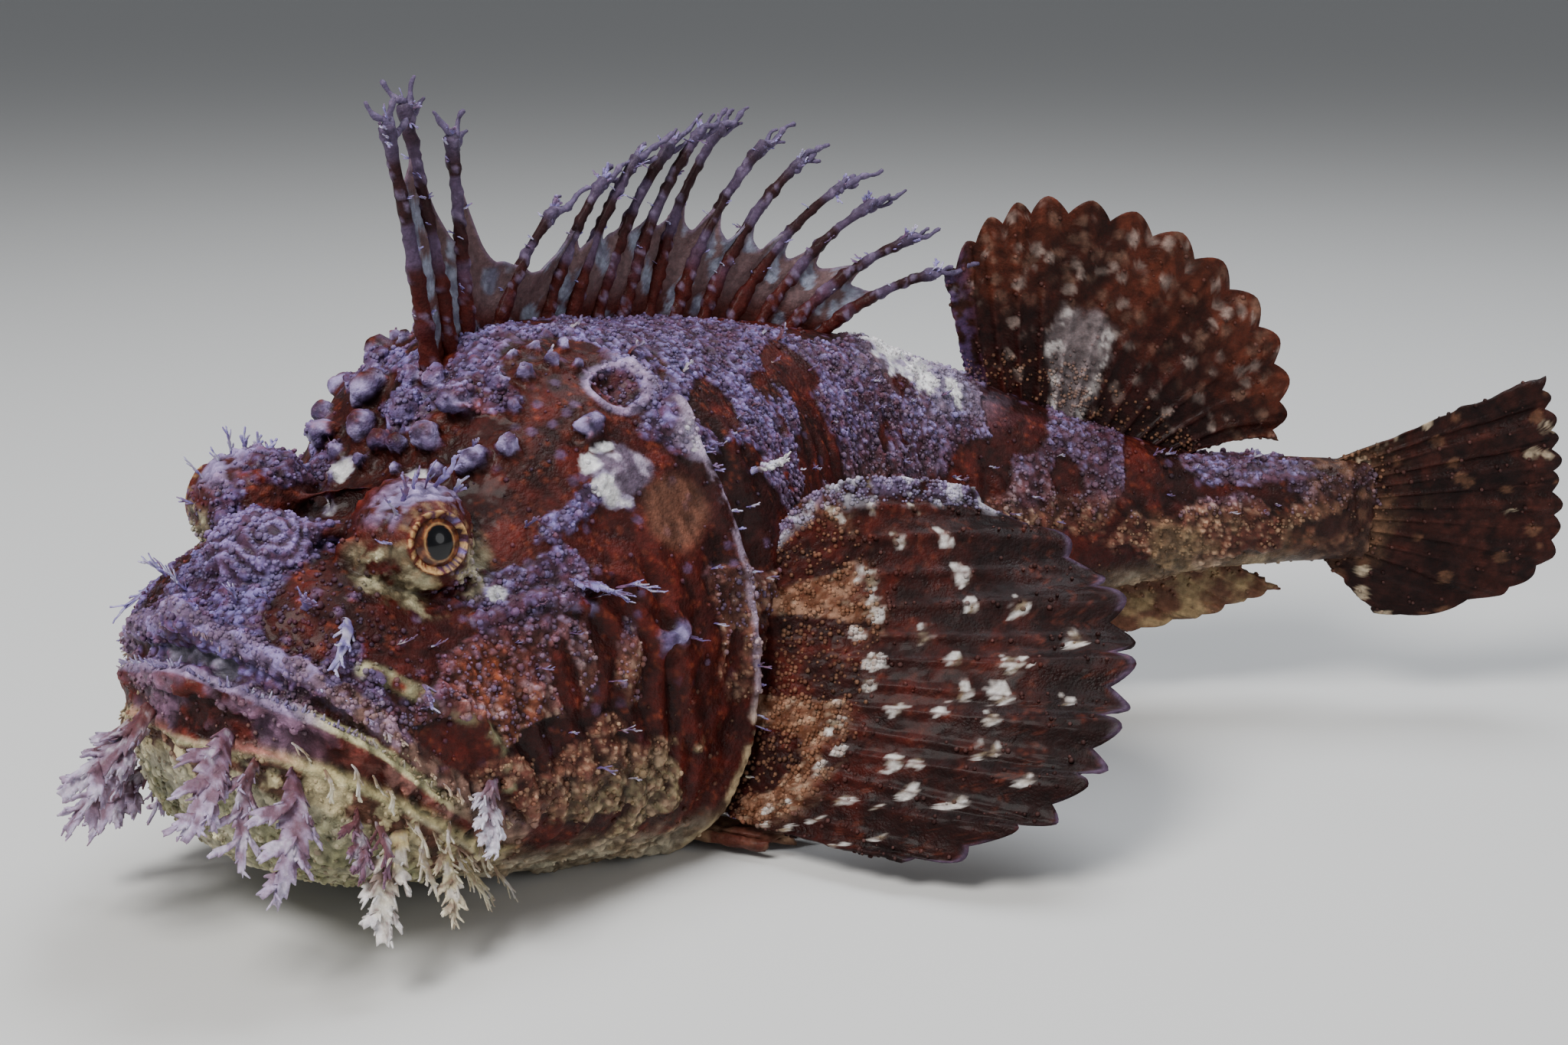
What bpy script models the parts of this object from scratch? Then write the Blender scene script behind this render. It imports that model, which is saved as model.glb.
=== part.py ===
"""A sea raven at rest on its belly, life size: head, jaw, trunk, tail and every fin as its own solid.

Metres, +Z up, the floor at z = 0. Every form is laid out on the straight fish, in body coordinates:
s, the way back from the tip of the snout; left, the way out from the midline; and z, the height above
the floor. place() then bends the straight fish into its resting curve.
"""
from math import cos, pi, radians, sin

import bmesh
import bpy
import numpy as np

# The whole fish
BODY_LENGTH = 0.350
GAP = 0.0003
MERGE = 0.00004
RING = 32
SEED = 7

# The curve in which it rests, seen from above: the heading of the head and of the tail
HEAD_YAW = radians(55)
TAIL_YAW = radians(0)
BEND_FROM, BEND_TO = 0.105, 0.285
SPINE_STEP = 0.0005

# Cross-sections of the straight fish: half-width, height of the back, of the belly and of the widest line
STATION = [0.000, 0.006, 0.020, 0.045, 0.058, 0.070, 0.082, 0.100, 0.130, 0.165, 0.205, 0.245, 0.280, 0.310, 0.350]
HALF =    [0.014, 0.030, 0.043, 0.051, 0.054, 0.056, 0.058, 0.060, 0.060, 0.053, 0.039, 0.026, 0.018, 0.013, 0.010]
BACK =    [0.076, 0.081, 0.088, 0.090, 0.101, 0.115, 0.124, 0.126, 0.123, 0.119, 0.112, 0.098, 0.085, 0.075, 0.073]
BELLY =   [0.044, 0.026, 0.014, 0.006, 0.002, 0.000, -.002, -.003, -.003, -.002, 0.003, 0.018, 0.032, 0.040, 0.044]
WIDEST =  [0.056, 0.050, 0.044, 0.038, 0.036, 0.037, 0.038, 0.040, 0.044, 0.047, 0.050, 0.053, 0.056, 0.057, 0.058]

# How square the section is above its widest line, and below it, where the breast spreads on the floor
SQUARE_ABOVE = 2.3
SQUARE_STATION = [0.000, 0.070, 0.100, 0.150, 0.220, 0.350]
SQUARE_BELOW =   [2.300, 2.300, 3.300, 3.300, 2.300, 2.300]

# Gill opening, vent and snout
GILL_SIDE = 0.118
GILL_SWEEP_UP, GILL_SWEEP_DOWN = 0.014, 0.020
GILL_RIM = 0.0022
VENT = 0.215
SNOUT_BULGE = 0.003

# Mouth: the edge of the upper lip and of the lower lip, from the front to the corner, as (s, z)
UPPER_LIP = [(-0.012, 0.0900), (0.000, 0.0722), (0.007, 0.0653), (0.0135, 0.0568), (0.024, 0.0433), (0.045, 0.0240)]
LOWER_LIP = [(-0.012, 0.0766), (0.000, 0.0658), (0.007, 0.0603), (0.0135, 0.0542), (0.024, 0.0415), (0.0446, 0.0240)]
JAW_HINGE_FOOT = (0.0725, -0.0100)
LIP_RADIUS = 0.0028

# Eyes
EYE = (0.0385, 0.0300, 0.0905)
EYE_RADIUS = 0.0088
EYE_AXIS = (-0.337, 0.925, 0.174)
TURRET_BACK = 0.0065
TURRET_RADII = (0.0145, 0.0130, 0.0128)
LID_THICK, LID_OPENING, LID_TUBE = 0.0013, 0.0057, 0.0011
LID_OUT = (EYE_RADIUS**2 - LID_OPENING**2) ** 0.5 + LID_THICK * 0.5

# Spiny first dorsal fin: three tall front spines, one short one, then the long rear row
FRONT_SPINES = [(0.074, -10, 0.058), (0.080, -7, 0.057), (0.086, -1, 0.046), (0.097, 25, 0.032)]
REAR_SPINES = 11
REAR_FROM, REAR_TO = 0.114, 0.207
SPINE_RADIUS, SPINE_TIP_RADIUS = 0.0016, 0.0009
TIP_SLENDER = 0.86
WEB_HALF, WEB_DIP = 0.0005, 0.72

# Soft fins
FIN_ROOT = 0.005
RAY_THICK, WEB_THICK = 0.0022, 0.0011


def smooth(x, xs, ys):
    """A smooth curve through the points (xs, ys), read at x."""
    xs, ys = np.asarray(xs, float), np.asarray(ys, float)
    gaps = np.diff(xs)
    slopes = np.diff(ys) / gaps
    inner = (slopes[:-1] * gaps[1:] + slopes[1:] * gaps[:-1]) / (xs[2:] - xs[:-2])
    tangents = np.concatenate([slopes[:1], inner, slopes[-1:]])
    x = np.clip(x, xs[0], xs[-1])
    i = np.clip(np.searchsorted(xs, x, side="right") - 1, 0, len(xs) - 2)
    h = xs[i + 1] - xs[i]
    t = (x - xs[i]) / h
    return (
        (2 * t**3 - 3 * t**2 + 1) * ys[i]
        + (t**3 - 2 * t**2 + t) * h * tangents[i]
        + (3 * t**2 - 2 * t**3) * ys[i + 1]
        + (t**3 - t**2) * h * tangents[i + 1]
    )


def yaw(s):
    """Heading of the body at s, turning smoothly from the head's to the tail's."""
    t = np.clip((s - BEND_FROM) / (BEND_TO - BEND_FROM), 0, 1)
    return HEAD_YAW + (TAIL_YAW - HEAD_YAW) * t * t * (3 - 2 * t)


def place(points):
    """World points for body coordinates (s, left, z)."""
    points = np.asarray(points, float)
    s, left, z = points[..., 0], points[..., 1], points[..., 2]
    fine = np.arange(-0.05, 0.50, SPINE_STEP)
    heading = yaw((fine[1:] + fine[:-1]) / 2)
    x = np.concatenate([[0], np.cumsum(SPINE_STEP * np.cos(heading))])
    y = np.concatenate([[0], np.cumsum(SPINE_STEP * np.sin(heading))])
    turn = yaw(s)
    return np.stack(
        [
            np.interp(s, fine, x) - np.interp(0, fine, x) + left * np.sin(turn),
            np.interp(s, fine, y) - np.interp(0, fine, y) - left * np.cos(turn),
            z,
        ],
        -1,
    )


def back_height(s):
    return smooth(s, STATION, BACK)


def belly_height(s):
    return smooth(s, STATION, BELLY)


def skin(s, angle, grow=0.0):
    """Body coordinates of the skin at s, by the angle round the body: 0 is the left side, pi / 2 the back."""
    half = smooth(s, STATION, HALF) + grow
    mid = smooth(s, STATION, WIDEST)
    across, up = np.cos(angle), np.sin(angle)
    square = np.where(up > 0, SQUARE_ABOVE, smooth(s, SQUARE_STATION, SQUARE_BELOW))
    left = half * np.sign(across) * np.abs(across) ** (2 / square)
    reach = np.where(up > 0, back_height(s) + grow - mid, mid - belly_height(s) + grow)
    z = mid + np.sign(up) * reach * np.abs(up) ** (2 / square)
    return np.stack(np.broadcast_arrays(s, left, np.maximum(z, -grow)), -1)


def side(s, z):
    """How far out the skin lies at s and at this height."""
    mid = smooth(s, STATION, WIDEST)
    reach = np.where(z > mid, back_height(s) - mid, mid - belly_height(s))
    share = np.clip(np.abs(z - mid) / reach, 0, 1)
    square = np.where(z > mid, SQUARE_ABOVE, smooth(s, SQUARE_STATION, SQUARE_BELOW))
    return smooth(s, STATION, HALF) * (1 - share**square) ** (1 / square)


def gill(angle):
    """Where the gill cover ends, by the angle round the body."""
    up = np.sin(angle)
    sweep = np.where(up > 0, GILL_SWEEP_UP * np.abs(up) ** 2.2, GILL_SWEEP_DOWN * np.abs(up) ** 1.5)
    return GILL_SIDE - sweep


# Meshes


def mesh_object(name, points, faces):
    """A closed mesh object with its faces turned out."""
    mesh = bpy.data.meshes.new(name)
    mesh.from_pydata([tuple(p) for p in np.asarray(points, float).reshape(-1, 3)], [], faces)
    work = bmesh.new()
    work.from_mesh(mesh)
    bmesh.ops.recalc_face_normals(work, faces=work.faces)
    work.to_mesh(mesh)
    work.free()
    obj = bpy.data.objects.new(name, mesh)
    bpy.context.scene.collection.objects.link(obj)
    return obj


def rings_object(name, rings, start, end):
    """A closed skin over rings of points, drawn together to the points start and end."""
    count, around = len(rings), len(rings[0])
    points = np.concatenate([np.reshape(rings, (-1, 3)), [start, end]])
    faces = []
    for i in range(count - 1):
        for j in range(around):
            k = (j + 1) % around
            faces.append((i * around + j, i * around + k, (i + 1) * around + k, (i + 1) * around + j))
    for j in range(around):
        k = (j + 1) % around
        faces.append((j, k, count * around))
        faces.append(((count - 1) * around + j, (count - 1) * around + k, count * around + 1))
    return mesh_object(name, points, faces)


def ball(centre, radii, around=8, rings=5):
    """An ellipsoid, in body coordinates."""
    heights = [pi * (i + 1) / (rings + 1) for i in range(rings)]
    turns = np.arange(around) * 2 * pi / around
    centre, radii = np.array(centre), np.array(radii)
    loops = [
        place(centre + radii * np.stack([sin(h) * np.cos(turns), sin(h) * np.sin(turns), np.full(around, cos(h))], -1))
        for h in heights
    ]
    lift = np.array([0, 0, radii[2]])
    return rings_object("ball", loops, place(centre + lift), place(centre - lift))


def across_of(path):
    """Two unit vectors square to a path at each of its points."""
    path = np.asarray(path, float)
    along = np.gradient(path, axis=0)
    along /= np.linalg.norm(along, axis=1)[:, None]
    first = np.cross(along, np.where(np.abs(along[:, 2:]) > 0.8, [[1.0, 0, 0]], [[0, 0, 1.0]]))
    first /= np.linalg.norm(first, axis=1)[:, None]
    return first, np.cross(along, first)


def tube(path, radii, around=6, point=0.0):
    """A round bar along a world path with a radius at each point, its ends drawn out by point."""
    path = np.asarray(path, float)
    radii = np.broadcast_to(radii, len(path))
    first, second = across_of(path)
    turns = np.arange(around) * 2 * pi / around
    loops = [
        p + r * (np.cos(turns)[:, None] * a + np.sin(turns)[:, None] * b)
        for p, r, a, b in zip(path, radii, first, second)
    ]
    start = path[0] - (path[1] - path[0]) / np.linalg.norm(path[1] - path[0]) * point
    end = path[-1] + (path[-1] - path[-2]) / np.linalg.norm(path[-1] - path[-2]) * point
    return rings_object("tube", loops, start, end)


def hoop(centre, axis, radius, thick, around=14, sides=5):
    """A round ring about an axis, in body coordinates."""
    axis = np.array(axis) / np.linalg.norm(axis)
    first = np.cross(axis, [0, 0, 1.0])
    first /= np.linalg.norm(first)
    second = np.cross(axis, first)
    points, faces = [], []
    for i in range(around):
        out = first * cos(2 * pi * i / around) + second * sin(2 * pi * i / around)
        for j in range(sides):
            turn = 2 * pi * j / sides
            points.append(np.array(centre) + out * (radius + thick * cos(turn)) + axis * thick * sin(turn))
            k, m = (i + 1) % around, (j + 1) % sides
            faces.append((i * sides + j, k * sides + j, k * sides + m, i * sides + m))
    return mesh_object("hoop", place(points), faces)


def cup(centre, axis, radius, height):
    """A short tube with a blind bore, standing on centre along axis, in body coordinates."""
    profile = [(1.1, -0.6), (0.85, 1.0), (0.50, 1.0), (0.40, 0.1)]
    axis = np.array(axis) / np.linalg.norm(axis)
    first = np.cross(axis, [1.0, 0, 0])
    first /= np.linalg.norm(first)
    second = np.cross(axis, first)
    turns = np.arange(8) * 2 * pi / 8
    loops = [
        place(centre + axis * h * height + radius * r * (np.cos(turns)[:, None] * first + np.sin(turns)[:, None] * second))
        for r, h in profile
    ]
    return rings_object("cup", loops, place(centre - axis * 0.6 * height), place(centre + axis * 0.1 * height))


def sheet(middle, half_thick):
    """A thin sheet over a grid of world points, split into triangles alike on both faces."""
    middle = np.asarray(middle, float)
    rows, cols = middle.shape[:2]
    normal = np.cross(np.gradient(middle, axis=0), np.gradient(middle, axis=1))
    normal /= np.linalg.norm(normal, axis=2)[..., None]
    offset = normal * np.broadcast_to(half_thick, (rows, cols))[..., None]
    points = np.concatenate([(middle + offset).reshape(-1, 3), (middle - offset).reshape(-1, 3)])
    back = rows * cols
    faces = []
    for r in range(rows - 1):
        for c in range(cols - 1):
            a, b = r * cols + c, r * cols + c + 1
            d, e = a + cols, b + cols
            faces += [(a, b, e), (a, e, d), (back + a, back + e, back + b), (back + a, back + d, back + e)]
    edge = [(0, c) for c in range(cols)] + [(r, cols - 1) for r in range(1, rows)]
    edge += [(rows - 1, c) for c in range(cols - 2, -1, -1)] + [(r, 0) for r in range(rows - 2, 0, -1)]
    loop = [r * cols + c for r, c in edge]
    for a, b in zip(loop, loop[1:] + loop[:1]):
        faces += [(a, b, back + b), (a, back + b, back + a)]
    return mesh_object("sheet", points, faces)


# Joining and cutting


def apply_boolean(obj, operation, others, solver):
    group = bpy.data.collections.new("operands")
    bpy.context.scene.collection.children.link(group)
    for other in others:
        bpy.context.scene.collection.objects.unlink(other)
        group.objects.link(other)
    boolean = obj.modifiers.new(operation, "BOOLEAN")
    boolean.operation = operation
    boolean.operand_type = "COLLECTION"
    boolean.collection = group
    boolean.solver = solver
    graph = bpy.context.evaluated_depsgraph_get()
    result = bpy.data.meshes.new_from_object(obj.evaluated_get(graph))
    obj.modifiers.clear()
    obj.data = result
    for other in others:
        bpy.data.objects.remove(other)
    bpy.data.collections.remove(group)


def join(obj, pieces, solver="EXACT"):
    """One Boolean union of obj and its pieces."""
    apply_boolean(obj, "UNION", pieces, solver)
    return obj


def cut(obj, cutters, solver="EXACT"):
    apply_boolean(obj, "DIFFERENCE", cutters, solver)
    return obj


def closed_surfaces(obj):
    """The separate closed surfaces of a mesh, largest first, each as (volume, faces)."""
    work = bmesh.new()
    work.from_mesh(obj.data)
    bmesh.ops.triangulate(work, faces=work.faces)
    left, found = set(work.faces), []
    while left:
        stack, shell = [left.pop()], []
        while stack:
            face = stack.pop()
            shell.append(face)
            near = {f for edge in face.edges for f in edge.link_faces} & left
            left -= near
            stack.extend(near)
        volume = sum(f.verts[0].co.dot(f.verts[1].co.cross(f.verts[2].co)) for f in shell) / 6
        found.append((abs(volume), [[tuple(v.co) for v in f.verts] for f in shell]))
    work.free()
    return sorted(found, key=lambda item: -item[0])


def object_from_faces(name, faces):
    """An object from loose triangles, with their shared corners made one."""
    index, points, rows = {}, [], []
    for face in faces:
        row = []
        for corner in face:
            if corner not in index:
                index[corner] = len(points)
                points.append(corner)
            row.append(index[corner])
        rows.append(tuple(row))
    return mesh_object(name, points, rows)


def keep_largest(obj):
    """Only the largest closed surface of obj, as a new object of the same name."""
    name = obj.name
    faces = closed_surfaces(obj)[0][1]
    bpy.data.objects.remove(obj)
    return without_slivers(object_from_faces(name, faces))


def without_slivers(obj):
    """Merges corners that lie closer than the merging distance, and drops the faces that this empties."""
    work = bmesh.new()
    work.from_mesh(obj.data)
    bmesh.ops.remove_doubles(work, verts=work.verts, dist=MERGE)
    bmesh.ops.dissolve_degenerate(work, edges=work.edges, dist=MERGE)
    bmesh.ops.triangulate(work, faces=work.faces)
    work.to_mesh(obj.data)
    work.free()
    return obj


# Body lofts


def head_rings(grow=0.0):
    angles = np.arange(RING) * 2 * pi / RING
    fixed = [0.000, 0.003, 0.008, 0.016, 0.026, 0.036, 0.046, 0.056, 0.066, 0.076, 0.086]
    loops = [skin(np.full(RING, s), angles, grow) for s in fixed]
    end = gill(angles) + grow
    flare = GILL_RIM * np.clip(1.6 - 1.9 * np.maximum(np.sin(angles), 0), 0, 1)
    for share, rim in ((0.4, 0.0), (0.8, 0.15), (0.94, 1.0), (1.0, 0.9)):
        s = fixed[-1] + (end - fixed[-1]) * share
        ring = skin(s, angles, grow)
        ring[:, 1] += np.sign(np.cos(angles)) * flare * rim * np.abs(np.cos(angles)) ** 0.5
        loops.append(ring)
    return loops


def head_loft(name, grow=0.0):
    loops = head_rings(grow)
    start = (-SNOUT_BULGE - grow, 0, 0.060)
    end = (GILL_SIDE - GILL_SWEEP_UP + grow, 0, 0.045)
    return rings_object(name, [place(ring) for ring in loops], place(start), place(end))


def torso_loft(name, grow=0.0):
    angles = np.arange(RING) * 2 * pi / RING
    loops = [skin(gill(angles) + GAP - grow, angles, grow)]
    loops += [skin(np.full(RING, s), angles, grow) for s in np.linspace(0.127, VENT - 0.012, 6)]
    loops.append(skin(np.full(RING, VENT + grow), angles, grow))
    start = (GILL_SIDE - GILL_SWEEP_UP + GAP - grow, 0, 0.045)
    return rings_object(name, [place(ring) for ring in loops], place(start), place((VENT + grow, 0, 0.05)))


def tail_loft(name, grow=0.0):
    angles = np.arange(RING) * 2 * pi / RING
    stations = np.concatenate([[VENT + GAP - grow], np.linspace(VENT + 0.015, BODY_LENGTH - 0.012, 7), [BODY_LENGTH]])
    loops = [skin(np.full(RING, s), angles, grow) for s in stations]
    end = (BODY_LENGTH + 0.002 + grow, 0, 0.055)
    return rings_object(name, [place(ring) for ring in loops], place((VENT + GAP - grow, 0, 0.05)), place(end))


def trim_to_body(fin):
    """Cuts a fin's root back to the skin, leaving the gap that touching solids keep."""
    for loft in (head_loft, torso_loft, tail_loft):
        cut(fin, [loft("trimmer", GAP)], solver="MANIFOLD")
    return keep_largest(fin)


# Head and jaw


def mouth_cutter():
    """The open mouth and the thin cut behind its corner, drawn in side view and pushed through the head."""
    foot_s, foot_z = JAW_HINGE_FOOT
    outline = list(UPPER_LIP) + [(foot_s, foot_z), (foot_s - 0.0004, foot_z)] + list(reversed(LOWER_LIP))
    reach = max(HALF) + 0.02
    points = [place((s, left, z)) for left in (-reach, reach) for s, z in outline]
    count = len(outline)
    faces = [tuple(range(count)), tuple(range(2 * count - 1, count - 1, -1))]
    faces += [(i, (i + 1) % count, count + (i + 1) % count, count + i) for i in range(count)]
    return mesh_object("mouth", points, faces)


def lip(edge, lift):
    """A fleshy lip along the mouth's edge, round the front from corner to corner."""
    stations = np.array([0.043, 0.036, 0.029, 0.022, 0.016, 0.011, 0.007, 0.004, 0.001])
    heights = np.interp(stations, [s for s, _ in edge], [z for _, z in edge]) + lift
    outs = side(stations, heights)
    left_side = np.stack([stations, outs - 0.0006, heights], -1)
    front = [(-0.0025, 0, np.interp(0, [s for s, _ in edge], [z for _, z in edge]) + lift)]
    right_side = left_side[::-1] * [1, -1, 1]
    path = place(np.concatenate([left_side, front, right_side]))
    shares = np.abs(np.linspace(-1, 1, len(path)))
    return tube(path, LIP_RADIUS * (1 - 0.45 * shares**2), around=6, point=0.001)


def skin_point(s, degrees, lift=0.0):
    """A point of the skin in body coordinates, lifted square to it."""
    angle = radians(degrees)
    point = skin(s, angle)
    return point + lift * skin_normal(s, degrees)


def skin_normal(s, degrees):
    """The way out of the skin at a point, in body coordinates."""
    angle, step = radians(degrees), 0.002
    along = skin(s + step, angle) - skin(s - step, angle)
    around = skin(s, angle + 0.02) - skin(s, angle - 0.02)
    normal = np.cross(around, along)
    normal /= np.linalg.norm(normal)
    outward = skin(s, angle) - np.array([s, 0, 0.05])
    return normal if normal @ outward > 0 else -normal


def flap(root, tip, width, lobes=3, bow=(0, 0, 0)):
    """A fleshy tab between world points: a flat blade with pointed lobes, tapering to its tip."""
    root, tip, bow = np.array(root, float), np.array(tip, float), np.array(bow, float)
    length = np.linalg.norm(tip - root)
    along = (tip - root) / length
    across = np.cross(along, [0.3, 0.9, 0.3])
    across /= np.linalg.norm(across)
    rows = 2 * lobes + 2
    grid, thick = [], []
    for i in range(rows):
        t = i / (rows - 1)
        is_lobe = i % 2 == 1 and i < rows - 1
        half = width * (0.30 if i == 0 else (0.5 if is_lobe else 0.24)) * (1 - 0.55 * t)
        middle = root + (tip - root) * t + bow * sin(pi * t) * length
        reach = along * length * (0.13 if is_lobe else 0.0)
        grid.append([middle - across * half + reach, middle, middle + across * half + reach])
        thick.append([0.0004, 0.0009 - 0.0003 * t, 0.0004])
    return sheet(grid, np.array(thick))


def skull_knobs():
    """The blunt knobs along the ridges of the skull, both sides alike apart from small differences."""
    draw = np.random.default_rng(SEED)
    rows = [
        (0.052, 0.088, 74, 5, 0.0036),
        (0.058, 0.092, 56, 4, 0.0030),
        (0.050, 0.062, 64, 2, 0.0027),
    ]
    found = []
    for mirrored in (1, -1):
        for first, last, degrees, count, radius in rows:
            for s in np.linspace(first, last, count):
                angle = degrees + draw.uniform(-4, 4)
                size = radius * draw.uniform(0.85, 1.15)
                centre = skin_point(s, angle, size * 0.15) * [1, mirrored, 1]
                found.append(ball(centre, (size, size * 0.95, size * 1.15), around=7, rings=3))
    return found


def cheek_ridge(mirrored):
    """The bony stay that runs from under the eye back across the cheek."""
    stations = np.linspace(0.048, 0.092, 8)
    marks = [(s, smooth(s, [0.048, 0.060, 0.076, 0.092], [42, 33, 26, 12])) for s in stations]
    path = place([skin_point(s, a, -0.0014) * [1, mirrored, 1] for s, a in marks])
    return tube(path, [0.0016, 0.0026, 0.0030, 0.0027, 0.0029, 0.0032, 0.0029, 0.0022], around=6, point=0.0010)


def upper_jaw_bone(mirrored):
    """The flat bone over the corner of the mouth."""
    stations = np.linspace(0.013, 0.0485, 8)
    marks = [(s, smooth(s, [0.013, 0.025, 0.037, 0.0485], [42, 25, 9, -11])) for s in stations]
    path = place([skin_point(s, a, -0.0026) * [1, mirrored, 1] for s, a in marks])
    return tube(path, [0.0026, 0.0036, 0.0042, 0.0046, 0.0049, 0.0051, 0.0048, 0.0036], around=7, point=0.0010)


def head_flaps():
    """The skin tabs of the snout, brows and cheeks, as (s, degrees, length, width, turned back)."""
    rows = [
        (0.006, 78, 0.007, 0.004, -0.4),
        (0.012, 60, 0.008, 0.004, -0.2),
        (0.040, 80, 0.008, 0.005, 0.0),
        (0.047, 70, 0.009, 0.005, 0.3),
        (0.060, 34, 0.008, 0.006, 0.3),
        (0.075, 24, 0.007, 0.006, 0.4),
        (0.094, 16, 0.006, 0.004, 0.5),
    ]
    found = []
    for mirrored in (1, -1):
        for s, degrees, length, width, lean in rows:
            normal = skin_normal(s, degrees)
            lift = 0.010 if degrees >= 70 and s > 0.03 else 0.0
            root = (skin_point(s, degrees, -0.0025) + [0, 0, lift]) * [1, mirrored, 1]
            way = (normal + [lean, 0, 0.25]) * [1, mirrored, 1]
            tip = root + way / np.linalg.norm(way) * (length + 0.0025)
            found.append(flap(place(root), place(tip), width, lobes=2))
    return found


def eye_places():
    return [(name, np.array(EYE) * [1, m, 1], np.array(EYE_AXIS) * [1, m, 1]) for name, m in (("left", 1), ("right", -1))]


def build_head():
    """The skull with the upper jaw, cheeks and gill covers, and the jaw that the mouth cuts free of it."""
    head = head_loft("head")
    pieces = [lip(UPPER_LIP, 0.0020), lip(LOWER_LIP, -0.0018)]
    pieces.append(ball((0.021, 0, 0.0855), (0.0125, 0.0130, 0.0085), around=10, rings=5))
    for mirrored in (1, -1):
        pieces += [cheek_ridge(mirrored), upper_jaw_bone(mirrored)]
        pieces.append(cup(np.array((0.027, mirrored * 0.0185, 0.0885)), (-0.5, mirrored * 0.5, 1.0), 0.0020, 0.0030))
        pieces.append(hoop(skin_point(0.097, 58) * [1, mirrored, 1], skin_normal(0.097, 58) * [1, mirrored, 1],
                           0.0060, 0.0013, around=12, sides=4))
        pieces.append(ball(skin_point(0.089, 42) * [1, mirrored, 1], (0.0085, 0.0040, 0.0045), around=8, rings=4))
    for _, centre, axis in eye_places():
        axis = axis / np.linalg.norm(axis)
        pieces.append(ball(centre - axis * TURRET_BACK, TURRET_RADII, around=12, rings=7))
        pieces.append(ball(centre, (EYE_RADIUS + LID_THICK,) * 3, around=12, rings=7))
        pieces.append(hoop(centre + axis * LID_OUT, axis, LID_OPENING + LID_TUBE * 0.6, LID_TUBE))
    pieces += skull_knobs()
    pieces += head_flaps()
    join(head, pieces)
    sockets = [ball(centre, (EYE_RADIUS + GAP,) * 3, around=14, rings=9) for _, centre, _ in eye_places()]
    for _, centre, axis in eye_places():
        axis = axis / np.linalg.norm(axis)
        sockets.append(tube(place([centre + axis * 0.004, centre + axis * 0.020]), LID_OPENING, around=14))
    pits = []
    for mirrored in (1, -1):
        pits.append(ball(skin_point(0.097, 58, 0.0015) * [1, mirrored, 1], (0.0050, 0.0050, 0.0042), around=10, rings=5))
        pits.append(ball(skin_point(0.078, 36, 0.0010) * [1, mirrored, 1], (0.0075, 0.0050, 0.0048), around=10, rings=5))
    cut(head, [mouth_cutter()] + sockets + pits)
    shells = closed_surfaces(head)[:2]
    bpy.data.objects.remove(head)
    head = without_slivers(object_from_faces("head", shells[0][1]))
    jaw = without_slivers(object_from_faces("lower_jaw", shells[1][1]))
    return head, jaw


def chin_flaps():
    """The branching tabs that hang round the lower jaw, as (s, height of the root, length, width, swing)."""
    rows = [
        (0.003, 0.048, 0.032, 0.019, -1.05),
        (0.012, 0.038, 0.027, 0.010, -0.35),
        (0.022, 0.030, 0.026, 0.013, -0.10),
        (0.031, 0.023, 0.019, 0.008, 0.05),
        (0.038, 0.020, 0.019, 0.013, 0.10),
        (0.046, 0.014, 0.012, 0.007, 0.25),
    ]
    found = []
    for mirrored in (1, -1):
        for s, z, length, width, swing in rows:
            root = np.array([s, side(s, z) - 0.003, z])
            way = np.array([swing, 0.50, -1.05])
            tip = root + way / np.linalg.norm(way) * (length + 0.003)
            tip[2] = max(tip[2], 0.0025)
            bow = np.array([0.0, 0.10, 0.0])
            ends = [place(p * [1, mirrored, 1]) for p in (root, tip, root + bow)]
            found.append(flap(ends[0], ends[1], width, lobes=3, bow=(ends[2] - ends[0])))
    return found


def build_jaw(jaw):
    flaps = chin_flaps()
    join(jaw, flaps[0::2], solver="MANIFOLD")
    join(jaw, flaps[1::2], solver="MANIFOLD")
    return keep_largest(jaw)


def build_eyes():
    for name, centre, _ in eye_places():
        eye = ball(centre, (EYE_RADIUS,) * 3, around=14, rings=9)
        eye.name = "eye_" + name


# Fins


def ray_columns(count):
    """The share along the fin of each ray and of the web between them, and which columns are rays."""
    shares = np.linspace(0, 1, 2 * count - 1)
    return shares, np.arange(2 * count - 1) % 2 == 0


def median_fin(name, count, span, base_height, leans, lengths, root=FIN_ROOT, sway=0.0, up=1, rows=6, notch=0.93):
    """A rayed fin on the midline. Rays stand on the body at base_height and lean back by so many degrees."""
    shares, is_ray = ray_columns(count)
    grid = np.zeros((rows + 1, len(shares), 3))
    thick = np.zeros((rows + 1, len(shares)))
    for c, share in enumerate(shares):
        s = span[0] + (span[1] - span[0]) * share
        lean = radians(smooth(share, *leans))
        length = smooth(share, *lengths) * (1.0 if is_ray[c] else notch)
        for r in range(rows + 1):
            run = -root if r == 0 else length * (r - 1) / (rows - 1)
            t = max(run, 0) / length
            curl = lean + 0.25 * t * abs(sin(lean))
            grid[r, c] = (s + run * sin(curl), sway * sin(1.5 * pi * share + 0.5) * t, base_height(s) + up * run * cos(curl))
            thick[r, c] = (RAY_THICK if is_ray[c] else WEB_THICK) / 2 * (1 - 0.45 * t)
    fin = sheet(place(grid), thick)
    fin.name = name
    return trim_to_body(fin)


def build_second_dorsal():
    return median_fin(
        "second_dorsal_fin", 12, (0.250, 0.312), back_height,
        leans=([0, 0.5, 1], [-20, 16, 70]), lengths=([0, 0.2, 0.5, 0.8, 1], [0.032, 0.053, 0.059, 0.046, 0.026]),
        sway=0.003,
    )


def build_anal_fin():
    return median_fin(
        "anal_fin", 13, (0.228, 0.328), belly_height,
        leans=([0, 1], [58, 48]), lengths=([0, 0.3, 0.7, 1], [0.009, 0.016, 0.024, 0.016]),
        sway=0.002, up=-1, rows=5,
    )


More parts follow.
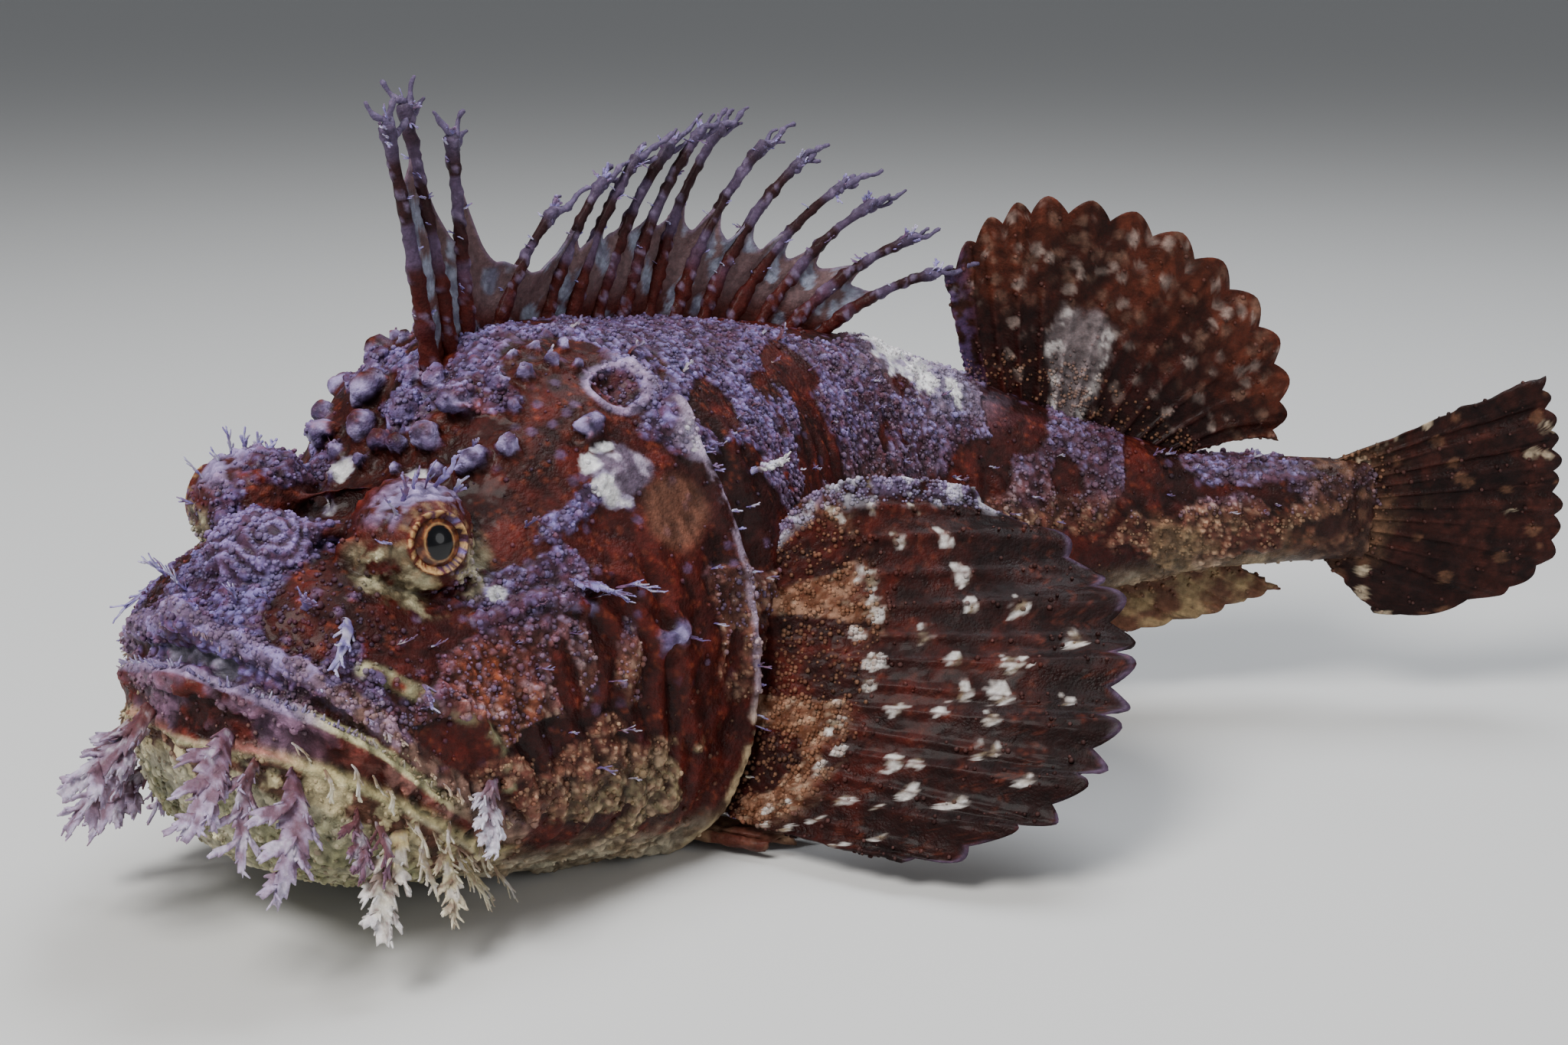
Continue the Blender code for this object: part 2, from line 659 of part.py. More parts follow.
def build_tail_fin():
    """The fan of the tail: its rays start side by side on the end of the tail stem, the lowest ones short."""
    count, root_low, root_high = 13, 0.0462, 0.0708
    shares, is_ray = ray_columns(count)
    rows = 7
    grid = np.zeros((rows + 1, len(shares), 3))
    thick = np.zeros((rows + 1, len(shares)))
    for c, share in enumerate(shares):
        rise = radians(smooth(share, [0, 0.1, 0.25, 1], [-46, -25, -13, 24]))
        reach = smooth(share, [0, 0.1, 0.25, 0.6, 1], [0.026, 0.046, 0.063, 0.067, 0.066]) * (1.0 if is_ray[c] else 0.95)
        for r in range(rows + 1):
            run = -0.008 if r == 0 else reach * (r - 1) / (rows - 1)
            t = max(run, 0) / reach
            z = root_low + (root_high - root_low) * share + run * sin(rise) * (1 if r else 0.2)
            grid[r, c] = (BODY_LENGTH + run * cos(rise), 0.004 * sin(2.6 * share) * t, z)
            thick[r, c] = (0.0034 - 0.0022 * t if is_ray[c] else 0.0028 - 0.0019 * t) / 2
    fin = sheet(place(grid), thick)
    fin.name = "tail_fin"
    return trim_to_body(fin)


def side_fin_grid(count, rows, base, heading, rise, lengths, root, notch):
    """Grid of a fin on the left side: each ray runs straight in the level and height that its root gives."""
    shares, is_ray = ray_columns(count)
    grid = np.zeros((rows + 1, len(shares), 3))
    for c, share in enumerate(shares):
        start = base(share)
        at = place(start)
        turn = yaw(start[0])
        back, out = np.array([cos(turn), sin(turn), 0]), np.array([sin(turn), -cos(turn), 0])
        azimuth, climb = radians(smooth(share, *heading)), radians(smooth(share, *rise))
        length = smooth(share, *lengths) * (1.0 if is_ray[c] else notch)
        level = back * cos(azimuth) + out * sin(azimuth)
        for r in range(rows + 1):
            run = -root if r == 0 else length * (r - 1) / (rows - 1)
            bend = back * 0.10 * length * (max(run, 0) / length) ** 2
            grid[r, c] = at + level * run * cos(climb) + bend + np.array([0, 0, run * sin(climb)])
    return grid, is_ray


def build_pectoral(name, mirrored):
    """The broad fan behind the gill cover: fleshy at its root, its lower rays resting on the floor."""
    count, rows = 15, 6

    def base(share):
        s, z = 0.139 - 0.026 * share, 0.076 - 0.067 * share
        return np.array([s, side(s, z), z])

    grid, is_ray = side_fin_grid(
        count, rows, base, heading=([0, 0.35, 1], [30, 62, 94]), rise=([0, 1], [4, -4]),
        lengths=([0, 0.2, 0.5, 0.8, 1], [0.052, 0.074, 0.084, 0.075, 0.050]), root=0.008, notch=0.94,
    )
    t = np.clip((np.arange(rows + 1) - 1) / (rows - 1), 0, 1)
    fleshy = 0.0036 * np.clip(1 - t / 0.30, 0, 1)
    thick = np.where(is_ray, RAY_THICK, WEB_THICK)[None, :] / 2 * (1 - 0.4 * t[:, None]) + fleshy[:, None]
    grid[..., 2] = np.maximum(grid[..., 2], GAP + thick + 0.0004)
    if mirrored == -1:
        grid = reflect(grid)
    fin = sheet(grid, thick)
    fin.name = name
    return trim_to_body(fin)


def reflect(grid):
    """World points of the right side that answer those of the left, across the midline at the gills."""
    axis = place((GILL_SIDE, 0, 0))
    turn = float(yaw(GILL_SIDE + 0.012))
    along = np.array([cos(turn), sin(turn), 0])
    from_axis = grid - axis
    level = from_axis * [1, 1, 0]
    return axis + 2 * (level @ along)[..., None] * along - level + from_axis * [0, 0, 1]


def build_pelvic(name, mirrored):
    """The small fin under the breast: three rays that lie back along the floor."""

    def base(share):
        s = 0.106 + 0.008 * share
        return np.array([s, side(s, 0.0045) - 0.001, 0.0042])

    grid, is_ray = side_fin_grid(
        4, 5, base, heading=([0, 1], [84, 48]), rise=([0, 1], [-1, -1]),
        lengths=([0, 1], [0.022, 0.032]), root=0.004, notch=0.93,
    )
    if mirrored == -1:
        grid = reflect(grid)
    fin = sheet(grid, np.where(is_ray, RAY_THICK, WEB_THICK)[None, :] / 2 * np.ones((6, 1)))
    fin.name = name
    return trim_to_body(fin)


# First dorsal fin


def spine_rows():
    """The spines of the first dorsal fin, each as (s, lean in degrees, length, share that the web reaches)."""
    draw = np.random.default_rng(SEED + 1)
    rows = [(s, lean, length, 0.62) for s, lean, length in FRONT_SPINES[:3]]
    rows.append((*FRONT_SPINES[3], 0.40))
    for i in range(REAR_SPINES):
        t = i / (REAR_SPINES - 1)
        lean = smooth(t, [0, 0.2, 0.6, 1], [22, 17, 27, 50]) + draw.uniform(-2.5, 2.5)
        length = smooth(t, [0, 0.3, 0.65, 1], [0.037, 0.053, 0.050, 0.036]) * draw.uniform(0.96, 1.04)
        rows.append((REAR_FROM + (REAR_TO - REAR_FROM) * t, lean, length, 0.46))
    return rows


def spine_point(row, run, sway):
    """Body coordinates of a point on a spine, run along it from the skin."""
    s, lean, length, _ = row
    t = max(run, 0) / length
    curl = radians(lean) + (0.22 if lean > 0 else -0.05) * t
    return np.array([s + run * sin(curl), sway * t, back_height(s) + run * cos(curl)])


def build_first_dorsal():
    """Free-tipped spines, each with a forked tip, joined below by a low, notched web."""
    draw = np.random.default_rng(SEED + 2)
    rows = spine_rows()
    sways = draw.uniform(-0.003, 0.003, len(rows))
    levels = np.array([-FIN_ROOT, 0.0, 0.5, 1.0])
    grid, thick = [], []
    for i, row in enumerate(rows):
        runs = np.where(levels < 0, levels, levels * row[3] * row[2])
        spine = np.array([spine_point(row, run, sways[i]) for run in runs])
        bone = SPINE_RADIUS + (SPINE_TIP_RADIUS - SPINE_RADIUS) * np.clip(runs / row[2], 0, 1)
        for shift in (-0.0016, 0.0, 0.0016):
            grid.append(spine + shift * np.array([cos(radians(row[1])), 0, -sin(radians(row[1]))]))
            thick.append(bone if shift == 0 else np.full(len(levels), WEB_HALF))
        if i + 1 < len(rows):
            after = rows[i + 1]
            later = np.where(levels < 0, levels, levels * after[3] * after[2])
            next_spine = np.array([spine_point(after, run, sways[i + 1]) for run in later])
            dip = np.where(levels > 0, WEB_DIP, 1.0)[:, None]
            foot = (spine[1] + next_spine[1]) / 2
            grid.append(foot + ((spine + next_spine) / 2 - foot) * dip)
            thick.append(np.full(len(levels), WEB_HALF))
    web = sheet(place(np.array(grid).transpose(1, 0, 2)), np.array(thick).T)
    spines, forks = [], []
    for row, sway in zip(rows, sways):
        length = row[2]
        runs = length * np.array([row[3] - 0.12, (row[3] + 1) / 2, 1.0])
        path = place([spine_point(row, run, sway) for run in runs])
        radii = TIP_SLENDER * (SPINE_RADIUS + (SPINE_TIP_RADIUS - SPINE_RADIUS) * runs / length)
        radii[-1] *= 0.6
        spines.append(tube(path, radii, around=5, point=0.0015))
        fork = spine_point(row, length * 0.86, sway)
        way = np.array([0.9, draw.uniform(-0.4, 0.4), 0.6]) * draw.choice([-0.8, 1.0, 1.0]) + [0, 0, 0.5]
        reach = way / np.linalg.norm(way) * length * 0.20
        path = place([fork, fork + reach * 0.55, fork + reach])
        forks.append(tube(path, [0.0009, 0.0006, 0.0004], around=4, point=0.0008))
    join(web, spines, solver="MANIFOLD")
    join(web, forks, solver="MANIFOLD")
    web.name = "first_dorsal_fin"
    return trim_to_body(web)


# Materials and assembly


def material(name, colour, roughness, metallic=0.0):
    made = bpy.data.materials.new(name)
    made.use_nodes = True
    shader = made.node_tree.nodes["Principled BSDF"]
    shader.inputs["Base Color"].default_value = (*colour, 1.0)
    shader.inputs["Roughness"].default_value = roughness
    shader.inputs["Metallic"].default_value = metallic
    return made


def give_materials():
    """Each node gets its own material: mottled red-brown skin, paler jaw, dark fins and glossy eyes."""
    looks = {
        "lower_jaw": ((0.40, 0.28, 0.22), 0.55),
        "eye": ((0.05, 0.03, 0.03), 0.10),
        "fin": ((0.20, 0.07, 0.05), 0.50),
    }
    for obj in bpy.context.scene.collection.objects:
        colour, roughness = (0.26, 0.09, 0.07), 0.55
        for word, look in looks.items():
            if word in obj.name:
                colour, roughness = look
        obj.data.materials.clear()
        obj.data.materials.append(material(obj.name, colour, roughness))
        obj.data.shade_smooth()
        obj.data.set_sharp_from_angle(angle=radians(50))


def centre_on_floor():
    """Moves the fish so that its box is centred on the origin, with the floor at z = 0."""
    objects = list(bpy.context.scene.collection.objects)
    corners = np.array([v.co for obj in objects for v in obj.data.vertices])
    middle = (corners.min(0) + corners.max(0)) / 2
    for obj in objects:
        for vertex in obj.data.vertices:
            vertex.co.x -= middle[0]
            vertex.co.y -= middle[1]


def main():
    for obj in list(bpy.data.objects):
        bpy.data.objects.remove(obj)
    _, jaw = build_head()
    build_jaw(jaw)
    build_eyes()
    torso_loft("torso")
    tail_loft("tail_stem")
    build_first_dorsal()
    build_second_dorsal()
    build_anal_fin()
    build_tail_fin()
    for name, mirrored in (("left", 1), ("right", -1)):
        build_pectoral("pectoral_fin_" + name, mirrored)
        build_pelvic("pelvic_fin_" + name, mirrored)
    centre_on_floor()
    give_materials()


main()
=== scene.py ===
"""Looks for the sea raven: one warty skin over head, jaw, trunk and tail, with live fins, eyes and skin tabs.

Every form is laid out on the straight fish in body coordinates (s back from the snout, left of the midline,
height z) and then bent by place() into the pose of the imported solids.
"""
from math import cos, pi, radians, sin

import bmesh
import bpy
import numpy as np
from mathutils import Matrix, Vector


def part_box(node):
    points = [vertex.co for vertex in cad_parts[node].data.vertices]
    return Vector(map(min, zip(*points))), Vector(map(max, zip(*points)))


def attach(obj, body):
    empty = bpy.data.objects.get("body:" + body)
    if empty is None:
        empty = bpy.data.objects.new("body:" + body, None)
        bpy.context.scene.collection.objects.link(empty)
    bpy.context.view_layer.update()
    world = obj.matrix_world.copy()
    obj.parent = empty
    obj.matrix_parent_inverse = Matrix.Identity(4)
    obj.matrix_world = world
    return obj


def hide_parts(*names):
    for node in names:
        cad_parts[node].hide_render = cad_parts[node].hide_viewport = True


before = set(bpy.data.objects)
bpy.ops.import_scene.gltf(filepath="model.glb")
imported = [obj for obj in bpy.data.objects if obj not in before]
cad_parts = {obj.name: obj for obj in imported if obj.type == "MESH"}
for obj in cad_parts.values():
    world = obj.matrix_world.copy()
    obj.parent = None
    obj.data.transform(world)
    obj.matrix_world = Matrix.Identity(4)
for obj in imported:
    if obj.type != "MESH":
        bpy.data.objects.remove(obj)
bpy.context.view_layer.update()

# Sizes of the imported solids, in metres
BODY_LENGTH = 0.350
WHOLE_LENGTH = 0.430
HEAD_YAW, TAIL_YAW = radians(55), radians(0)
BEND_FROM, BEND_TO = 0.105, 0.285
SPINE_STEP = 0.0005
# The body at stations along it: half its width, heights of its back and belly, height where it is widest
STATION = [
    0.000, 0.006, 0.020, 0.045, 0.058, 0.070, 0.082, 0.100, 0.130, 0.165, 0.205, 0.245, 0.280, 0.310, 0.350
]
HALF = [
    0.014, 0.030, 0.043, 0.051, 0.054, 0.056, 0.058, 0.060, 0.060, 0.053, 0.039, 0.026, 0.018, 0.013, 0.010
]
BACK = [
    0.076, 0.081, 0.088, 0.090, 0.101, 0.115, 0.124, 0.126, 0.123, 0.119, 0.112, 0.098, 0.085, 0.075, 0.073
]
BELLY = [
    0.044, 0.026, 0.014, 0.006, 0.002, 0.000, -.002, -.003, -.003, -.002, 0.003, 0.018, 0.032, 0.040, 0.044
]
WIDEST = [
    0.056, 0.050, 0.044, 0.038, 0.036, 0.037, 0.038, 0.040, 0.044, 0.047, 0.050, 0.053, 0.056, 0.057, 0.058
]
# How square its cross-section is, above the widest height and below it
SQUARE_ABOVE = 2.3
SQUARE_STATION = [0.000, 0.070, 0.100, 0.150, 0.220, 0.350]
SQUARE_BELOW = [2.300, 2.300, 3.300, 3.300, 2.300, 2.300]
GILL_SIDE = 0.118
GILL_SWEEP_UP, GILL_SWEEP_DOWN = 0.014, 0.020
# The lips' edges (s, z), the eye, and the first dorsal fin's spines (root, lean in degrees, length)
UPPER_LIP = [
    (-0.012, 0.0912), (0.000, 0.0734), (0.007, 0.0664), (0.0135, 0.0576), (0.024, 0.0437), (0.045, 0.0240)
]
LOWER_LIP = [
    (-0.012, 0.0758), (0.000, 0.0650), (0.007, 0.0596), (0.0135, 0.0537), (0.024, 0.0413), (0.0446, 0.0240)
]
EYE = np.array([0.0385, 0.0300, 0.0905])
EYE_RADIUS = 0.0088
EYE_AXIS = np.array((-0.337, 0.925, 0.174)) / np.linalg.norm((-0.337, 0.925, 0.174))
TURRET_BACK = 0.0065
TURRET_RADII = (0.0145, 0.0130, 0.0128)
FRONT_SPINES = [(0.074, -10, 0.058), (0.080, -7, 0.057), (0.086, -1, 0.046), (0.097, 25, 0.032)]
REAR_SPINES = 11
REAR_FROM, REAR_TO = 0.114, 0.207
# The deep pit on the side of the skull (s, degrees), the start of all random draws, and the skin's grain
PIT = (0.099, 58)
SEED = 7
VOXEL = 0.00082


# Shapes on the straight fish


def smooth(x, xs, ys):
    """A smooth curve through the points xs, ys, read at x."""
    xs, ys = np.asarray(xs, float), np.asarray(ys, float)
    gaps = np.diff(xs)
    slopes = np.diff(ys) / gaps
    inner = (slopes[:-1] * gaps[1:] + slopes[1:] * gaps[:-1]) / (xs[2:] - xs[:-2])
    tangents = np.concatenate([slopes[:1], inner, slopes[-1:]])
    x = np.clip(x, xs[0], xs[-1])
    i = np.clip(np.searchsorted(xs, x, side="right") - 1, 0, len(xs) - 2)
    h = xs[i + 1] - xs[i]
    t = (x - xs[i]) / h
    return (
        (2 * t**3 - 3 * t**2 + 1) * ys[i]
        + (t**3 - 2 * t**2 + t) * h * tangents[i]
        + (3 * t**2 - 2 * t**3) * ys[i + 1]
        + (t**3 - t**2) * h * tangents[i + 1]
    )


def yaw(s):
    """The fish's heading at s: the head's, then a soft turn to the tail's."""
    t = np.clip((s - BEND_FROM) / (BEND_TO - BEND_FROM), 0, 1)
    return HEAD_YAW + (TAIL_YAW - HEAD_YAW) * t * t * (3 - 2 * t)


def bend(points):
    """Points of the straight fish carried into the pose, snout at the origin."""
    points = np.asarray(points, float)
    s, left, z = points[..., 0], points[..., 1], points[..., 2]
    fine = np.arange(-0.05, 0.50, SPINE_STEP)
    heading = yaw((fine[1:] + fine[:-1]) / 2)
    x = np.concatenate([[0], np.cumsum(SPINE_STEP * np.cos(heading))])
    y = np.concatenate([[0], np.cumsum(SPINE_STEP * np.sin(heading))])
    turn = yaw(s)
    return np.stack(
        [
            np.interp(s, fine, x) - np.interp(0, fine, x) + left * np.sin(turn),
            np.interp(s, fine, y) - np.interp(0, fine, y) - left * np.cos(turn),
            z,
        ],
        -1,
    )


eye_low, eye_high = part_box("eye_left")
SHIFT = (np.array(eye_low) + np.array(eye_high)) / 2 - bend(EYE)
SHIFT[2] = 0.0


def place(points):
    return bend(points) + SHIFT


def back_height(s):
    return smooth(s, STATION, BACK)


def belly_height(s):
    return smooth(s, STATION, BELLY)


def skin(s, angle):
    """Points of the plain body's surface at s and an angle round it."""
    half, mid = smooth(s, STATION, HALF), smooth(s, STATION, WIDEST)
    across, up = np.cos(angle), np.sin(angle)
    square = np.where(up > 0, SQUARE_ABOVE, smooth(s, SQUARE_STATION, SQUARE_BELOW))
    left = half * np.sign(across) * np.abs(across) ** (2 / square)
    reach = np.where(up > 0, back_height(s) - mid, mid - belly_height(s))
    z = mid + np.sign(up) * reach * np.abs(up) ** (2 / square)
    return np.stack(np.broadcast_arrays(s, left, np.maximum(z, 0)), -1)


def side(s, z):
    """Half the plain body's width at s and height z."""
    mid = smooth(s, STATION, WIDEST)
    reach = np.where(z > mid, back_height(s) - mid, mid - belly_height(s))
    share = np.clip(np.abs(z - mid) / reach, 0, 1)
    square = np.where(z > mid, SQUARE_ABOVE, smooth(s, SQUARE_STATION, SQUARE_BELOW))
    return smooth(s, STATION, HALF) * (1 - share**square) ** (1 / square)


def gill(angle):
    """Where the gill cover's free edge lies at an angle round the body."""
    up = np.sin(angle)
    sweep = np.where(up > 0, GILL_SWEEP_UP * np.abs(up) ** 2.2, GILL_SWEEP_DOWN * np.abs(up) ** 1.5)
    return GILL_SIDE - sweep


def skin_normal(s, degrees):
    angle, step = radians(degrees), 0.002
    along = skin(s + step, angle) - skin(s - step, angle)
    around = skin(s, angle + 0.02) - skin(s, angle - 0.02)
    normal = unit(np.cross(around, along))
    outward = skin(s, angle) - np.array([s, 0, 0.05])
    return normal if normal @ outward > 0 else -normal


def skin_point(s, degrees, lift=0.0):
    """A point lift above the plain body's left side."""
    return skin(s, radians(degrees)) + lift * skin_normal(s, degrees)


def unit(v):
    return v / np.linalg.norm(v)


def ramp(x, low, high):
    """0 below low, 1 above high, and a smooth rise between."""
    t = np.clip((x - low) / (high - low), 0, 1)
    return t * t * (3 - 2 * t)


def between(x, rise_from, rise_to, fall_from, fall_to):
    return ramp(x, rise_from, rise_to) * (1 - ramp(x, fall_from, fall_to))


# Noise


def lattice(ix, iy, iz, seed):
    """A random number from 0 to 1 for each place with whole-number coordinates."""
    h = (ix * 374761393 + iy * 668265263 + iz * 1440662683 + seed * 1274126177) & 0xFFFFFFFF
    h = ((h ^ (h >> 13)) * 1274126177) & 0xFFFFFFFF
    return ((h ^ (h >> 16)) & 0xFFFF) / 65535.0


def noise(p, scale, seed=0):
    """Soft noise from 0 to 1 with features about scale across."""
    q = np.asarray(p) / scale
    i = np.floor(q).astype(np.int64)
    f = q - i
    f = f * f * (3 - 2 * f)
    total = 0
    for dx in (0, 1):
        for dy in (0, 1):
            for dz in (0, 1):
                w = (f[..., 0] if dx else 1 - f[..., 0]) * (f[..., 1] if dy else 1 - f[..., 1])
                w = w * (f[..., 2] if dz else 1 - f[..., 2])
                total = total + w * lattice(i[..., 0] + dx, i[..., 1] + dy, i[..., 2] + dz, seed)
    return total


def fractal(p, scale, seed=0, octaves=4):
    """Soft noise with finer and weaker noise on it."""
    total, weight, norm = 0, 1.0, 0.0
    for k in range(octaves):
        total = total + weight * noise(p, scale / 2**k, seed + 17 * k)
        norm += weight
        weight *= 0.55
    return total / norm


def noises(p, *kinds):
    return (fractal(p, *kind) for kind in kinds)


def domes(p, scale, seed=0):
    """Rounded bumps about scale apart, from 0 between them to 1 on top, and a random number for each."""
    q = np.asarray(p) / scale
    i = np.floor(q).astype(np.int64)
    best = np.full(q.shape[:-1], 9.0)
    name = np.zeros(q.shape[:-1])
    for dx in (-1, 0, 1):
        for dy in (-1, 0, 1):
            for dz in (-1, 0, 1):
                c = i + [dx, dy, dz]
                at = np.stack([lattice(c[..., 0], c[..., 1], c[..., 2], seed + k) for k in (1, 2, 3)], -1)
                d = np.linalg.norm(c + at - q, axis=-1)
                nearer = d < best
                best = np.where(nearer, d, best)
                name = np.where(nearer, lattice(c[..., 0], c[..., 1], c[..., 2], seed + 9), name)
    return np.clip(1 - (best / 0.62) ** 2, 0, 1), name


# Meshes as (points, faces, colours, roots), where roots are places on the skin's unwrap for the small pieces


def tube_part(path, radii, around=8, flat=None, flatness=1.0):
    """A closed bar along a path with rounded ends; flat is a direction in which it is thinner."""
    path = np.asarray(path, float)
    radii = np.broadcast_to(np.asarray(radii, float), len(path))
    along = np.gradient(path, axis=0)
    along /= np.linalg.norm(along, axis=1)[:, None] + 1e-12
    guide = np.array([0.31, 0.22, 0.92]) if flat is None else np.asarray(flat, float)
    first = np.cross(along, guide)
    first /= np.linalg.norm(first, axis=1)[:, None] + 1e-12
    second = np.cross(along, first)
    turns = np.arange(around) * 2 * pi / around
    loops = path[:, None] + radii[:, None, None] * (
        np.cos(turns)[None, :, None] * first[:, None]
        + flatness * np.sin(turns)[None, :, None] * second[:, None]
    )
    ends = np.array([path[0] - along[0] * radii[0] * 0.5, path[-1] + along[-1] * radii[-1] * 0.7])
    points = np.concatenate([loops.reshape(-1, 3), ends])
    return points, ring_faces(len(path), around)


def ring_faces(count, around):
    """Triangles over rings of points that end in two single points."""
    i, j = np.meshgrid(np.arange(count - 1), np.arange(around), indexing="ij")
    k = (j + 1) % around
    a, b = i * around + j, i * around + k
    c, d = a + around, b + around
    faces = [np.stack([a, b, d], -1).reshape(-1, 3), np.stack([a, d, c], -1).reshape(-1, 3)]
    j = np.arange(around)
    k = (j + 1) % around
    first, last = count * around, count * around + 1
    faces.append(np.stack([k, j, np.full(around, first)], -1))
    top = (count - 1) * around
    faces.append(np.stack([top + j, top + k, np.full(around, last)], -1))
    return np.concatenate(faces)


def plate_faces(rows, cols):
    """Quads of a thin plate: a grid in front, the same grid behind it, and the strip round the edge."""
    r, c = np.meshgrid(np.arange(rows - 1), np.arange(cols - 1), indexing="ij")
    a = (r * cols + c).ravel()
    quads = np.stack([a, a + 1, a + cols + 1, a + cols], -1)
    edge = [(0, k) for k in range(cols)] + [(k, cols - 1) for k in range(1, rows)]
    edge += [(rows - 1, k) for k in range(cols - 2, -1, -1)] + [(k, 0) for k in range(rows - 2, 0, -1)]
    loop = np.array([k * cols + m for k, m in edge])
    after, total = np.roll(loop, -1), rows * cols
    return np.concatenate(
        [quads, quads[:, ::-1] + total, np.stack([after, loop, loop + total, after + total], -1)]
    )


def ball_part(centre, radii, around=28, rings=18):
    heights = pi * (np.arange(rings) + 1) / (rings + 1)
    turns = np.arange(around) * 2 * pi / around
    unit = np.stack(
        [
            np.sin(heights)[:, None] * np.cos(turns),
            np.sin(heights)[:, None] * np.sin(turns),
            np.repeat(np.cos(heights)[:, None], around, 1),
        ],
        -1,
    ).reshape(-1, 3)
    points = np.concatenate([unit, [[0, 0, 1], [0, 0, -1]]]) * radii + centre
    return points, ring_faces(rings, around)


def joined(parts):
    points, faces, start = [], [], 0
    for p, f in parts:
        points.append(p)
        faces.append(f + start)
        start += len(p)
    return np.concatenate(points), np.concatenate(faces)


def make_mesh(name, points, faces):
    """A mesh object from arrays of points and triangles or quads, shaded smooth."""
    mesh = bpy.data.meshes.new(name)
    mesh.vertices.add(len(points))
    mesh.vertices.foreach_set("co", np.asarray(points, np.float32).ravel())
    sides = faces.shape[1]
    mesh.loops.add(faces.size)
    mesh.loops.foreach_set("vertex_index", faces.astype(np.int32).ravel())
    mesh.polygons.add(len(faces))
    mesh.polygons.foreach_set("loop_start", np.arange(0, faces.size, sides, dtype=np.int32))
    mesh.update(calc_edges=True)
    mesh.validate()
    mesh.polygons.foreach_set("use_smooth", np.ones(len(mesh.polygons), bool))
    obj = bpy.data.objects.new(name, mesh)
    bpy.context.scene.collection.objects.link(obj)
    return obj


def paint(obj, colours):
    attribute = obj.data.color_attributes.new("tint", "FLOAT_COLOR", "POINT")
    rgba = np.ones((len(colours), 4), np.float32)
    rgba[:, :3] = colours
    attribute.data.foreach_set("color", rgba.ravel())


def corners_of(mesh):
    corners = np.zeros(len(mesh.loops), np.int64)
    mesh.loops.foreach_get("vertex_index", corners)
    return corners


def arrays_of(mesh):
    points = np.zeros(len(mesh.vertices) * 3)
    mesh.vertices.foreach_get("co", points)
    return points.reshape(-1, 3), corners_of(mesh)


def bake_layout(obj, uv):
    """The unwrap for baking, named OFBake, from a place for each point."""
    layer = obj.data.uv_layers.new(name="OFBake")
    layer.data.foreach_set("uv", uv[corners_of(obj.data)].astype(np.float32).ravel())


def dress(obj, material, slot, *replaced):
    """What every piece gets: its material and its body, and the solids it stands for are hidden. The slot is
    not used.
    """
    obj.data.materials.append(material)
    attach(obj, "root")
    if replaced:
        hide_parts(*replaced)


def two_sided(middle, normal, half, wave=0.0):
    """Points in front of a sheet and behind it, for plate_faces."""
    front, behind = middle + normal * (half + wave)[..., None], middle - normal * (half - wave)[..., None]
    return np.concatenate([front.reshape(-1, 3), behind.reshape(-1, 3)])


def sheet_normals(middle):
    normal = np.cross(np.gradient(middle, axis=0), np.gradient(middle, axis=1))
    return normal / (np.linalg.norm(normal, axis=2)[..., None] + 1e-15)


def vertex_normals(points, faces):
    """Unit normals of a mesh of triangles or quads."""
    cross = np.cross(points[faces[:, 1]] - points[faces[:, 0]], points[faces[:, 2]] - points[faces[:, 0]])
    if faces.shape[1] == 4:
        cross = (
            cross
            + np.cross(points[faces[:, 2]] - points[faces[:, 0]], points[faces[:, 3]] - points[faces[:, 0]])
        )
    total = np.zeros_like(points)
    for c in range(3):
        for k in range(faces.shape[1]):
            total[:, c] += np.bincount(faces[:, k], cross[:, c], len(points))
    return total / (np.linalg.norm(total, axis=1)[:, None] + 1e-15)


def relax(points, faces, rounds, weight=0.5):
    """Evens out a mesh by moving each point towards the middle of its neighbours."""
    sides = faces.shape[1]
    a = np.concatenate([faces[:, k] for k in range(sides)] * 2)
    b = np.concatenate(
        [faces[:, (k + 1) % sides] for k in range(sides)] + [faces[:, k - 1] for k in range(sides)]
    )
    count = np.bincount(a, minlength=len(points))[:, None]
    for _ in range(rounds):
        mean = np.stack([np.bincount(a, points[b, c], len(points)) for c in range(3)], -1) / count
        points = points + (mean - points) * weight
    return points


# Colours


def srgb(r, g, b):
    c = np.array([r, g, b]) / 255.0
    return np.where(c <= 0.04045, c / 12.92, ((c + 0.055) / 1.055) ** 2.4)


MAROON = srgb(60, 18, 15)
RED = srgb(84, 25, 18)
ORANGE = srgb(160, 82, 46)
LILAC = srgb(98, 82, 138)
PALE_LILAC = srgb(150, 139, 200)
CREAM = srgb(212, 202, 176)
THROAT = srgb(172, 150, 122)
GREEN_GREY = srgb(150, 148, 112)
TAN = srgb(140, 104, 78)
WHITE = srgb(240, 238, 240)
DARK = srgb(30, 9, 8)


def mix(a, b, share):
    """Colours a with the share of b mixed in."""
    share = np.clip(np.asarray(share), 0, 1)[..., None]
    return a * (1 - share) + b * share


